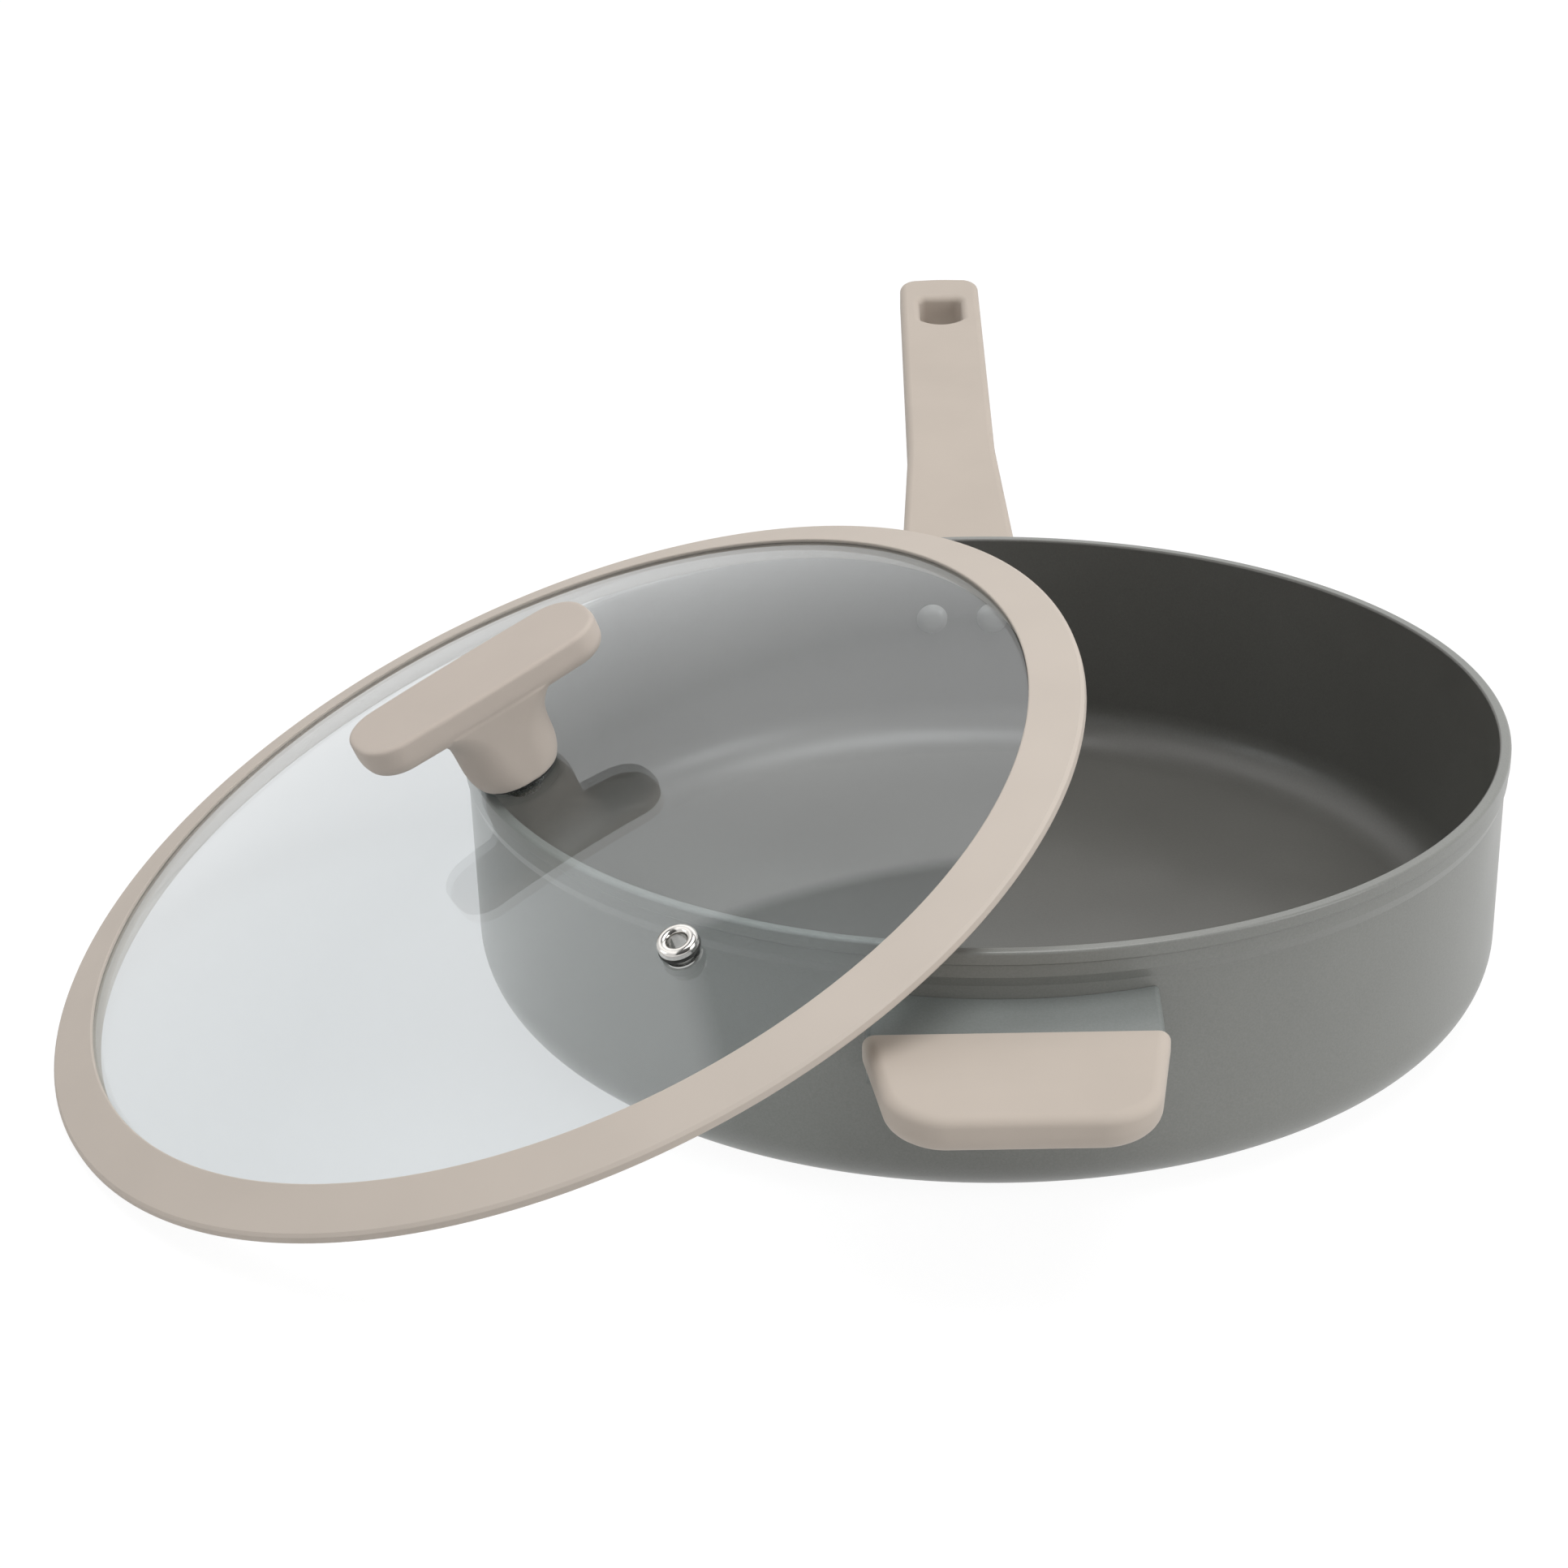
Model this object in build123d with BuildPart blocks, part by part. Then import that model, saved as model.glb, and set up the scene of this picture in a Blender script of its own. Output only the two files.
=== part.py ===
from build123d import *
import os
from math import asin, cos, degrees, radians, sin, sqrt, tan

# Saute pan with a domed glass lid, in millimetres.
# The origin is at the middle of the pan's underside, +Z is up and the long handle points along +Y.
# The lid leans: its low edge stands beside the pan and its glass lies over the pan's rim near the knob.

# Pan body: a cast bowl, sized by the width inside its rim
pan_bore_radius = 140.0
pan_height = 72.0
rim_width = 3.2
rim_round = 0.8
lip_height = 3.4
lip_overhang = 0.35
band_height = 7.0
step_height = 2.6
step_depth = 0.8
wall_draft = 0.4
bore_draft = 1.0
floor_thickness = 4.6
base_corner_radius = 17.0
bore_corner_radius = 14.0

# Induction plate, pressed into the underside
plate_radius = 98.0
plate_thickness = 1.2
plate_chamfer = 0.3

# Gaps: pressed fits, faces that seat on curved walls, sliding sockets, and cuts past a face
press_gap = 0.05
seat_gap = 0.15
socket_gap = 0.2
overrun = 2.0

# Rivets, two for each handle
rivet_drop = 26.5
rivet_half_spacing = 9.7
rivet_shank_radius = 2.6
rivet_head_radius = 4.9
rivet_head_height = 2.3
rivet_tail_radius = 3.7
rivet_tail_height = 1.8

# Long handle bracket: a casting, hollow from below, with a tang for the grip
bracket_wall = 2.8
long_bracket_reach = 19.8
long_bracket_width = 33.0
long_bracket_depth = 24.0
long_bracket_end_depth = 15.0
bracket_round = 1.5
bracket_set_down = 0.8
tang_width = 17.0
tang_thickness = 8.0
tang_length = 42.0
tang_round = 1.5

# Long handle grip
grip_root_drop = 9.5
grip_rise = 12.0
grip_length = 181.0
grip_root_width = 36.4
grip_waist_width = 29.2
grip_tip_width = 28.2
grip_waist_at = 61.5
grip_waist_round = 90.0
grip_root_depth = 21.0
grip_tip_depth = 14.0
grip_tip_corner = 6.0
grip_tip_crown = 0.9
grip_top_round = 2.4
grip_under_round = 5.5
hang_hole_width = 15.0
hang_hole_length = 18.5
hang_hole_bow = 3.4
hang_hole_corner = 2.5
hang_hole_inset = 15.0
hang_hole_round = 1.6

# Screws that hold the grips to their tangs
screw_radius = 2.0
screw_head_radius = 3.6
screw_head_height = 2.4
screw_slot_depth = 1.3
screw_slot_width = 1.2
screw_engagement_share = 0.8
screw_recess_extra = 1.0
long_screw_at = 24.0
helper_screw_half_spacing = 17.0
helper_screw_at = 10.0

# Helper handle bracket and grip
helper_drop = 13.1
helper_shelf_fall = 2.3
helper_bracket_width = 71.0
helper_bracket_reach = 13.2
helper_bracket_depth = 21.0
helper_bracket_end_depth = 10.0
helper_rib_width = 4.0
helper_tang_width = 52.0
helper_tang_thickness = 4.0
helper_tang_length = 22.0
helper_grip_width = 73.4
helper_grip_taper = 6.2
helper_grip_proud = 0.6
helper_grip_reach = 38.5
helper_grip_fall = 1.4
helper_grip_fall_start = 8.0
helper_grip_depth = 12.0
helper_grip_corner = 15.0
helper_grip_top_round = 3.0
helper_grip_under_round = 6.4
helper_grip_edge_round = 0.7

# Lid glass: a dome of one thickness; heights are above the ring's lower edge, which seats on the rim
dome_height = 23.6
glass_thickness = 3.8
glass_inset = 9.2
glass_edge_height = 0.6
glass_hole_clearance = 1.1

# Silicone ring round the glass
ring_overhang = 4.8
ring_width = 13.6
ring_lip_cover = 1.1
ring_edge_height = 2.4
ring_edge_round = 0.7
ring_lip_round = 0.6
plug_gap = 0.6
plug_depth = 2.8
plug_round = 0.8
glass_grip_gap = 0.05

# How the lid leans, and the gap that it keeps above the rim
lid_lean = 21.66
lid_lean_azimuth = 201.5
lean_gap = 0.3

# Knob: a T-shaped bar on a flared stem
knob_turn = 5.0
knob_stem_height = 21.0
knob_stem_level_shares = (0.0, 0.5, 0.84, 1.1)
knob_stem_lengths = (22.6, 26.2, 29.2, 40.0)
knob_stem_widths = (22.2, 23.0, 24.6, 26.4)
knob_stem_corners = (11.0, 9.8, 8.6, 8.0)
knob_bar_length = 69.4
knob_bar_width = 28.0
knob_bar_end_width = 25.0
knob_bar_thickness = 9.2
knob_bar_end_bow = 1.0
knob_bar_corner_share = 0.4
knob_bar_top_round = 1.1
knob_bar_under_round = 4.2

# Knob fixings
insert_radius = 5.0
insert_length = 14.0
insert_bore_depth = 11.0
gasket_radius = 10.4
gasket_thickness = 0.8
knob_screw_radius = 2.9
knob_screw_head_radius = 4.8
knob_screw_head_height = 2.6
knob_screw_reach = 8.0
washer_radius = 6.4
washer_thickness = 1.0
under_seal_radius = 6.0
under_seal_thickness = 0.8

# Steam vent
vent_distance = 98.2
vent_turn = 93.5
eyelet_bore_radius = 2.5
eyelet_tube_radius = 3.3
eyelet_radius = 5.25
eyelet_height = 2.4
eyelet_round = 1.1
eyelet_under_radius = 4.4
eyelet_under_height = 0.8
vent_seal_radius = 5.4
vent_seal_height = 0.9

os.makedirs("parts", exist_ok=True)


def save(builder, name):
    """Labels a finished sub-part and writes it."""
    builder.part.label = name
    export_step(builder.part, f"parts/{name}.step")


def corner(sketch, x, y):
    """The vertex of a sketch that lies nearest to a point."""
    return sketch.vertices().sort_by_distance((x, y, 0))[0]


# Sizes that follow from the values above
rim_radius = pan_bore_radius + rim_width
band_radius = rim_radius - lip_overhang
wall_top_radius = band_radius - step_depth
wall_low_radius = wall_top_radius - wall_draft
bore_low_radius = pan_bore_radius - bore_draft
band_level = pan_height - band_height
step_level = band_level - step_height
seat_radius = wall_top_radius + seat_gap
foot_radius = seat_radius + bracket_wall
rivet_level = pan_height - rivet_drop
rivet_azimuth = degrees(asin(rivet_half_spacing / wall_top_radius))
rivet_hole_radius = rivet_shank_radius + press_gap


# Pan body
with BuildPart() as pan_body:
    with BuildSketch(Plane.XZ) as bowl_section:
        with BuildLine():
            Polyline(
                (0, plate_thickness),
                (plate_radius + press_gap, plate_thickness),
                (plate_radius + press_gap, 0),
                (wall_low_radius, 0),
                (wall_top_radius, step_level),
                (band_radius, band_level),
                (band_radius, pan_height - lip_height - lip_overhang),
                (rim_radius, pan_height - lip_height),
                (rim_radius, pan_height),
                (pan_bore_radius, pan_height),
                (bore_low_radius, floor_thickness),
                (0, floor_thickness),
                close=True,
            )
        make_face()
        fillet(corner(bowl_section, wall_low_radius, 0), base_corner_radius)
        fillet(corner(bowl_section, bore_low_radius, floor_thickness), bore_corner_radius)
        fillet(corner(bowl_section, rim_radius, pan_height), rim_round)
        fillet(corner(bowl_section, pan_bore_radius, pan_height), rim_round)
    revolve(axis=Axis.Z)
    for side in (1, -1):
        for turn in (rivet_azimuth, -rivet_azimuth):
            outward = Vector(0, side, 0).rotate(Axis.Z, turn)
            with BuildSketch(Plane((0, 0, rivet_level), z_dir=outward)):
                Circle(rivet_hole_radius)
            extrude(amount=rim_radius + overrun, mode=Mode.SUBTRACT)
save(pan_body, "pan_body")

with BuildPart() as induction_plate:
    with BuildSketch(Plane.XY):
        Circle(plate_radius)
    extrude(amount=plate_thickness)
    chamfer(induction_plate.faces().sort_by(Axis.Z)[-1].edges(), plate_chamfer)
save(induction_plate, "induction_plate")


def rivet(side, turn):
    """One rivet, turned about its own axis: a domed head in the pan, a shank, and an upset tail on the foot."""
    outward = Vector(0, side, 0).rotate(Axis.Z, turn)
    across = Vector(0, 0, 1).cross(outward)
    bore_at_rivet = bore_low_radius + bore_draft * (rivet_level - floor_thickness) / (pan_height - floor_thickness)
    head_seat = bore_at_rivet - seat_gap
    tail_seat = foot_radius + seat_gap
    with BuildSketch(Plane((0, 0, rivet_level), x_dir=outward, z_dir=across)) as section:
        with BuildLine():
            Polyline(
                (head_seat - rivet_head_height, 0),
                (tail_seat + rivet_tail_height, 0),
                (tail_seat + rivet_tail_height, rivet_tail_radius - rivet_tail_height / 2),
                (tail_seat, rivet_tail_radius),
                (tail_seat, rivet_shank_radius),
                (head_seat, rivet_shank_radius),
                (head_seat, rivet_head_radius),
            )
            dome = (rivet_head_radius**2 + rivet_head_height**2) / (2 * rivet_head_height)
            RadiusArc(
                (head_seat, rivet_head_radius),
                (head_seat - rivet_head_height, 0),
                -dome,
            )
        make_face()
    revolve(section.sketch, axis=Axis((0, 0, rivet_level), outward))


with BuildPart() as long_handle_rivets:
    for turn in (rivet_azimuth, -rivet_azimuth):
        rivet(1, turn)
save(long_handle_rivets, "long_handle_rivets")

with BuildPart() as helper_handle_rivets:
    for turn in (rivet_azimuth, -rivet_azimuth):
        rivet(-1, turn)
save(helper_handle_rivets, "helper_handle_rivets")


def foot(side, width, top, depth):
    """The plate of a bracket that follows the pan's wall."""
    half_turn = degrees(asin(width / 2 / foot_radius))
    start = Vector(0, side, 0).rotate(Axis.Z, -half_turn)
    with BuildSketch(Plane((0, 0, 0), x_dir=start, z_dir=start.cross(Vector(0, 0, 1)))) as section:
        with BuildLine():
            Polyline(
                (seat_radius, top),
                (foot_radius, top),
                (foot_radius, top - depth),
                (seat_radius, top - depth),
                close=True,
            )
        make_face()
    revolve(section.sketch, axis=Axis.Z, revolution_arc=2 * half_turn)


def rivet_holes(side):
    """The holes that a bracket's foot has for its two rivets."""
    for turn in (rivet_azimuth, -rivet_azimuth):
        outward = Vector(0, side, 0).rotate(Axis.Z, turn)
        with BuildSketch(Plane((0, 0, rivet_level), z_dir=outward)) as hole:
            Circle(rivet_hole_radius)
        extrude(hole.sketch, amount=foot_radius + overrun, mode=Mode.SUBTRACT)


# Long handle: its plane lies on the grip's flat top, with local x along the handle
grip_root_reach = seat_radius + long_bracket_reach
grip_root_level = pan_height - grip_root_drop
grip_along = Vector(0, cos(radians(grip_rise)), sin(radians(grip_rise)))
grip_up = Vector(0, -sin(radians(grip_rise)), cos(radians(grip_rise)))
grip_root = Vector(0, grip_root_reach, grip_root_level)
grip_top = Plane(grip_root, x_dir=grip_along, z_dir=grip_up)
grip_side = Plane(grip_root, x_dir=grip_along, z_dir=grip_along.cross(grip_up))
grip_end = Plane(grip_root, x_dir=(-1, 0, 0), z_dir=grip_along)
tang_drop = bracket_set_down + (long_bracket_end_depth - tang_thickness) / 2

# Long handle bracket: sketched in side view, so that local x is +Y and local y is +Z
long_bracket_top = grip_root_level - bracket_set_down
bracket_rise = tan(radians(grip_rise))
long_wall_top = long_bracket_top - bracket_rise * (grip_root_reach - seat_radius)
bracket_front = grip_root_reach - bracket_wall

with BuildPart() as long_handle_bracket:
    with BuildSketch(Plane.YZ):
        with BuildLine():
            Polyline(
                (pan_bore_radius, long_wall_top - bracket_rise * (seat_radius - pan_bore_radius)),
                (grip_root_reach, long_bracket_top),
                (grip_root_reach, long_bracket_top - long_bracket_end_depth),
                (foot_radius, long_wall_top - long_bracket_depth),
                (pan_bore_radius, long_wall_top - long_bracket_depth),
                close=True,
            )
        make_face()
    extrude(amount=long_bracket_width / 2, both=True)
    along_grip = Axis((0, 0, 0), grip_along)
    fillet(long_handle_bracket.edges().filter_by(along_grip).group_by(Axis.Z)[-1], bracket_round)
    with BuildSketch(Plane.YZ):
        with BuildLine():
            Polyline(
                (pan_bore_radius, long_wall_top - bracket_wall),
                (bracket_front, long_bracket_top - bracket_wall - bracket_rise * bracket_wall),
                (bracket_front, long_bracket_top - long_bracket_depth - overrun),
                (pan_bore_radius, long_bracket_top - long_bracket_depth - overrun),
                close=True,
            )
        make_face()
    extrude(amount=long_bracket_width / 2 - bracket_wall, both=True, mode=Mode.SUBTRACT)
    foot(1, long_bracket_width, long_wall_top - bracket_wall / 2, long_bracket_depth - bracket_wall / 2)
    with BuildSketch(grip_end.offset(-bracket_wall)):
        with Locations((0, -tang_drop - tang_thickness / 2)):
            RectangleRounded(tang_width, tang_thickness, tang_round)
    extrude(amount=tang_length + bracket_wall)
    with BuildSketch(grip_top.offset(-tang_drop - tang_thickness)):
        with Locations((long_screw_at, 0)):
            Circle(screw_radius)
    extrude(amount=tang_thickness, mode=Mode.SUBTRACT)
    with BuildSketch(Plane.XY):
        Circle(seat_radius)
    extrude(amount=pan_height, mode=Mode.SUBTRACT)
    rivet_holes(1)
save(long_handle_bracket, "long_handle_bracket")

# Long handle grip: a tapering bar, cut to its side view, with a socket and a hanging hole
with BuildPart() as long_handle_grip:
    with BuildSketch(grip_top) as grip_plan:
        with BuildLine():
            Polyline(
                (grip_length - grip_tip_crown, grip_tip_width / 2),
                (grip_waist_at, grip_waist_width / 2),
                (0, grip_root_width / 2),
                (0, -grip_root_width / 2),
                (grip_waist_at, -grip_waist_width / 2),
                (grip_length - grip_tip_crown, -grip_tip_width / 2),
            )
            ThreePointArc(
                (grip_length - grip_tip_crown, -grip_tip_width / 2),
                (grip_length, 0),
                (grip_length - grip_tip_crown, grip_tip_width / 2),
            )
        make_face()
        for side in (1, -1):
            fillet(corner(grip_plan, grip_waist_at, side * grip_waist_width / 2), grip_waist_round)
            fillet(corner(grip_plan, grip_length - grip_tip_crown, side * grip_tip_width / 2), grip_tip_corner)
    extrude(amount=-grip_root_depth)
    with BuildSketch(grip_side):
        with BuildLine():
            Polyline(
                (0, -grip_root_depth),
                (grip_length + overrun, -grip_tip_depth),
                (grip_length + overrun, -grip_root_depth - overrun),
                (0, -grip_root_depth - overrun),
                close=True,
            )
        make_face()
    extrude(amount=grip_root_width, both=True, mode=Mode.SUBTRACT)
    top_face = long_handle_grip.faces().sort_by_distance(grip_root + grip_along * grip_waist_at)[0]
    top_edges = top_face.edges().filter_by(lambda e: (e.center() - grip_root).dot(grip_along) > grip_top_round)
    fillet(top_edges, grip_top_round)
    under_point = grip_root + grip_along * grip_waist_at - grip_up * grip_root_depth
    under_face = long_handle_grip.faces().sort_by_distance(under_point)[0]
    under_edges = under_face.edges().filter_by(lambda e: (e.center() - grip_root).dot(grip_along) > grip_top_round)
    fillet(under_edges, grip_under_round)
    with BuildSketch(grip_end):
        with Locations((0, -tang_drop - tang_thickness / 2)):
            RectangleRounded(tang_width + 2 * socket_gap, tang_thickness + 2 * socket_gap, tang_round + socket_gap)
    extrude(amount=tang_length + socket_gap, mode=Mode.SUBTRACT)
    hole_far = grip_length - hang_hole_inset
    hole_near = hole_far - hang_hole_length
    with BuildSketch(grip_top) as hang_hole:
        with BuildLine():
            Polyline(
                (hole_near + hang_hole_bow, hang_hole_width / 2),
                (hole_far, hang_hole_width / 2),
                (hole_far, -hang_hole_width / 2),
                (hole_near + hang_hole_bow, -hang_hole_width / 2),
            )
            ThreePointArc(
                (hole_near + hang_hole_bow, -hang_hole_width / 2),
                (hole_near, 0),
                (hole_near + hang_hole_bow, hang_hole_width / 2),
            )
        make_face()
        for side in (1, -1):
            fillet(corner(hang_hole, hole_far, side * hang_hole_width / 2), hang_hole_corner)
    extrude(amount=-grip_root_depth, mode=Mode.SUBTRACT)
    hole_middle = grip_root + grip_along * (hole_far - hang_hole_length / 2)
    rim_edges = long_handle_grip.faces().sort_by_distance(hole_middle)[0].inner_wires()[0].edges()
    fillet(rim_edges, hang_hole_round)
    screw_face = tang_drop + tang_thickness + socket_gap
    with BuildSketch(grip_top.offset(-screw_face)):
        with Locations((long_screw_at, 0)):
            Circle(screw_radius + socket_gap)
    extrude(amount=-grip_root_depth, mode=Mode.SUBTRACT)
    screw_seat = grip_root_depth - screw_head_height - screw_recess_extra
    with BuildSketch(grip_top.offset(-screw_seat)):
        with Locations((long_screw_at, 0)):
            Circle(screw_head_radius + socket_gap)
    extrude(amount=-screw_head_height - screw_recess_extra - overrun, mode=Mode.SUBTRACT)
save(long_handle_grip, "long_handle_grip")


def screw(seat, shank):
    """A cross-head screw: its head hangs below the seat plane and its shank runs up from it."""
    with BuildSketch(seat.offset(-press_gap - screw_head_height)) as head:
        Circle(screw_head_radius)
    extrude(head.sketch, amount=screw_head_height)
    with BuildSketch(seat.offset(-press_gap - screw_head_height / 2)) as stem:
        Circle(screw_radius - press_gap)
    extrude(stem.sketch, amount=screw_head_height / 2 + press_gap + shank)
    for turn in (0, 90):
        with BuildSketch(seat.offset(-press_gap - screw_head_height).rotated((0, 0, turn))) as slot:
            Rectangle(screw_head_radius, screw_slot_width)
        extrude(slot.sketch, amount=screw_slot_depth, mode=Mode.SUBTRACT)


with BuildPart() as long_handle_screw:
    screw_foot = grip_root + grip_along * long_screw_at - grip_up * screw_seat
    screw(
        Plane(screw_foot, x_dir=grip_along, z_dir=grip_up),
        screw_seat - screw_face + tang_thickness * screw_engagement_share,
    )
save(long_handle_screw, "long_handle_screw")

# Helper handle bracket: a shelf that falls a little outwards, hollow from below on both sides of a rib
helper_wall_top = pan_height - helper_drop
helper_top = helper_wall_top - helper_shelf_fall
helper_shelf_reach = seat_radius + helper_bracket_reach
helper_inner_reach = pan_bore_radius - bracket_wall
shelf_slope = helper_shelf_fall / helper_bracket_reach
with BuildPart() as helper_handle_bracket:
    with BuildSketch(Plane.YZ):
        with BuildLine():
            Polyline(
                (-helper_inner_reach, helper_wall_top + shelf_slope * (seat_radius - helper_inner_reach)),
                (-helper_shelf_reach, helper_top),
                (-helper_shelf_reach, helper_top - helper_bracket_end_depth),
                (-foot_radius, helper_wall_top - helper_bracket_depth),
                (-helper_inner_reach, helper_wall_top - helper_bracket_depth),
                close=True,
            )
        make_face()
    extrude(amount=helper_bracket_width / 2, both=True)
    along_shelf = Axis((0, 0, 0), (0, -1, -shelf_slope))
    fillet(helper_handle_bracket.edges().filter_by(along_shelf).group_by(Axis.Z)[-1], bracket_round)
    cell_width = (helper_bracket_width - helper_rib_width) / 2 - bracket_wall
    cell_front = helper_shelf_reach - bracket_wall
    cell_length = cell_front - helper_inner_reach + bracket_wall
    with BuildSketch(Plane.XY.offset(helper_top - bracket_wall)):
        for side in (1, -1):
            with Locations((side * (helper_rib_width + cell_width) / 2, -cell_front + cell_length / 2)):
                Rectangle(cell_width, cell_length)
    extrude(amount=-helper_bracket_depth, mode=Mode.SUBTRACT)
    foot(-1, helper_bracket_width, helper_wall_top - bracket_wall / 2, helper_bracket_depth - bracket_wall / 2)
    helper_tang_top = helper_top - (helper_bracket_end_depth - helper_tang_thickness) / 2
    with BuildSketch(Plane.XY.offset(helper_tang_top)):
        with Locations((0, -helper_shelf_reach - helper_tang_length / 2 + bracket_wall / 2)):
            Rectangle(helper_tang_width, helper_tang_length + bracket_wall)
    extrude(amount=-helper_tang_thickness)
    with BuildSketch(Plane.XY.offset(helper_tang_top)):
        for side in (1, -1):
            with Locations((side * helper_screw_half_spacing, -helper_shelf_reach - helper_screw_at)):
                Circle(screw_radius)
    extrude(amount=-helper_tang_thickness, mode=Mode.SUBTRACT)
    with BuildSketch(Plane.XY):
        Circle(seat_radius)
    extrude(amount=pan_height, mode=Mode.SUBTRACT)
    rivet_holes(-1)
save(helper_handle_bracket, "helper_handle_bracket")

# Helper handle grip: a thick tongue with wide front corners, socketed on the tang
helper_grip_top = helper_top + helper_grip_proud
with BuildPart() as helper_handle_grip:
    grip_front = -helper_shelf_reach - helper_grip_reach
    grip_front_half = helper_grip_width / 2 - helper_grip_taper
    with BuildSketch(Plane.XY.offset(helper_grip_top)) as tongue:
        with BuildLine():
            Polyline(
                (helper_grip_width / 2, -helper_shelf_reach),
                (-helper_grip_width / 2, -helper_shelf_reach),
                (-grip_front_half, grip_front),
                (grip_front_half, grip_front),
                close=True,
            )
        make_face()
        for side in (1, -1):
            fillet(corner(tongue, side * grip_front_half, grip_front), helper_grip_corner)
    extrude(amount=-helper_grip_depth)
    crease = -helper_shelf_reach - helper_grip_fall_start
    fall_end = grip_front - overrun
    fall_at_end = helper_grip_fall * (crease - fall_end) / (crease - grip_front)
    with BuildSketch(Plane.YZ):
        with BuildLine():
            Polyline(
                (crease, helper_grip_top),
                (fall_end, helper_grip_top - fall_at_end),
                (fall_end, helper_grip_top + overrun),
                (crease, helper_grip_top + overrun),
                close=True,
            )
        make_face()
    extrude(amount=helper_grip_width, both=True, mode=Mode.SUBTRACT)
    keep_sharp = -helper_shelf_reach - helper_grip_edge_round
    outer_edges = helper_handle_grip.edges().filter_by(
        lambda e: e.center().Y < keep_sharp and (abs(e.center().X) > overrun or e.center().Y < grip_front + overrun)
    )
    above = helper_grip_top - helper_grip_fall - overrun
    fillet(outer_edges.filter_by(lambda e: e.center().Z > above), helper_grip_top_round)
    under_edges = helper_handle_grip.faces().sort_by(Axis.Z)[0].edges()
    fillet(under_edges.filter_by(lambda e: e.center().Y < keep_sharp), helper_grip_under_round)
    fillet(helper_handle_grip.faces().sort_by(Axis.Y)[-1].edges(), helper_grip_edge_round)
    socket_middle = helper_tang_top - helper_tang_thickness / 2
    with BuildSketch(Plane.XZ.offset(helper_shelf_reach)):
        with Locations((0, socket_middle)):
            Rectangle(helper_tang_width + 2 * socket_gap, helper_tang_thickness + 2 * socket_gap)
    extrude(amount=helper_tang_length + socket_gap, mode=Mode.SUBTRACT)
    helper_under = helper_grip_top - helper_grip_depth
    helper_screw_seat = helper_under + screw_head_height + screw_recess_extra / 2
    with BuildSketch(Plane.XY.offset(helper_under)):
        for side in (1, -1):
            with Locations((side * helper_screw_half_spacing, -helper_shelf_reach - helper_screw_at)):
                Circle(screw_radius + socket_gap)
    extrude(amount=helper_tang_top - helper_tang_thickness - helper_under, mode=Mode.SUBTRACT)
    with BuildSketch(Plane.XY.offset(helper_screw_seat)):
        for side in (1, -1):
            with Locations((side * helper_screw_half_spacing, -helper_shelf_reach - helper_screw_at)):
                Circle(screw_head_radius + socket_gap)
    extrude(amount=helper_under - helper_screw_seat - overrun, mode=Mode.SUBTRACT)
save(helper_handle_grip, "helper_handle_grip")

with BuildPart() as helper_handle_screws:
    for side in (1, -1):
        screw(
            Plane((side * helper_screw_half_spacing, -helper_shelf_reach - helper_screw_at, helper_screw_seat)),
            helper_tang_top - helper_screw_seat - press_gap,
        )
save(helper_handle_screws, "helper_handle_screws")

# Lid: its plane lies on the ring's lower edge, with local x down the slope and local z along the knob
ring_radius = rim_radius + ring_overhang
ring_bore_radius = ring_radius - ring_width
glass_edge_radius = ring_radius - glass_inset
glass_knob_hole_radius = knob_screw_radius + glass_hole_clearance
dome_rise = dome_height - glass_edge_height
dome_radius = (glass_edge_radius**2 + dome_rise**2) / (2 * dome_rise)
lean = radians(lid_lean)
lid_lean_out = Vector(1, 0, 0).rotate(Axis.Z, lid_lean_azimuth)
lid_up = Vector(0, 0, 1) * cos(lean) + lid_lean_out * sin(lean)
lid_down = lid_lean_out * cos(lean) - Vector(0, 0, 1) * sin(lean)
lid_across = lid_up.cross(lid_down)

# The ring's rounded lower edge touches the level of the pan's underside
lid_level = (ring_radius - ring_edge_round) * sin(lean) + ring_edge_round * (1 - cos(lean))

# The glass's underside is a sphere; the rounded outer corner of the rim stays inside it by the lean gap
dome_drop = dome_radius - dome_height
sphere_level = lid_level - dome_drop * cos(lean)
corner_level = pan_height - rim_round - sphere_level
corner_reach = sqrt((dome_radius - lean_gap - rim_round) ** 2 - corner_level**2)
lid_reach = rim_radius - rim_round - corner_reach + dome_drop * sin(lean)
lid_centre = lid_lean_out * lid_reach + Vector(0, 0, lid_level)
lid_plane = Plane(lid_centre, x_dir=lid_down, z_dir=lid_up)
lid_section = Plane(lid_centre, x_dir=lid_down, z_dir=-lid_across)
lid_axis = Axis(lid_centre, lid_up)


def under_glass(radius):
    """Height of the glass's underside at a distance from the lid's axis."""
    return dome_height - dome_radius + sqrt(dome_radius**2 - radius**2)


def over_glass(radius):
    """Height of the glass's upper face at a distance from the lid's axis."""
    outside = dome_radius + glass_thickness
    return dome_height - dome_radius + sqrt(outside**2 - radius**2)


def glass_shell(gap):
    """The section of the domed glass, grown all round by a gap."""
    inside = dome_radius - gap
    outside = dome_radius + glass_thickness + gap
    edge = glass_edge_radius + gap
    crown = dome_height - dome_radius
    half = edge / 2
    with BuildSketch(lid_section) as section:
        with BuildLine():
            ThreePointArc(
                (0, crown + inside),
                (half, crown + sqrt(inside**2 - half**2)),
                (edge, crown + sqrt(inside**2 - edge**2)),
            )
            Line((edge, crown + sqrt(inside**2 - edge**2)), (edge, crown + sqrt(outside**2 - edge**2)))
            ThreePointArc(
                (edge, crown + sqrt(outside**2 - edge**2)),
                (half, crown + sqrt(outside**2 - half**2)),
                (0, crown + outside),
            )
            Line((0, crown + outside), (0, crown + inside))
        make_face()
    return section.sketch


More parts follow.
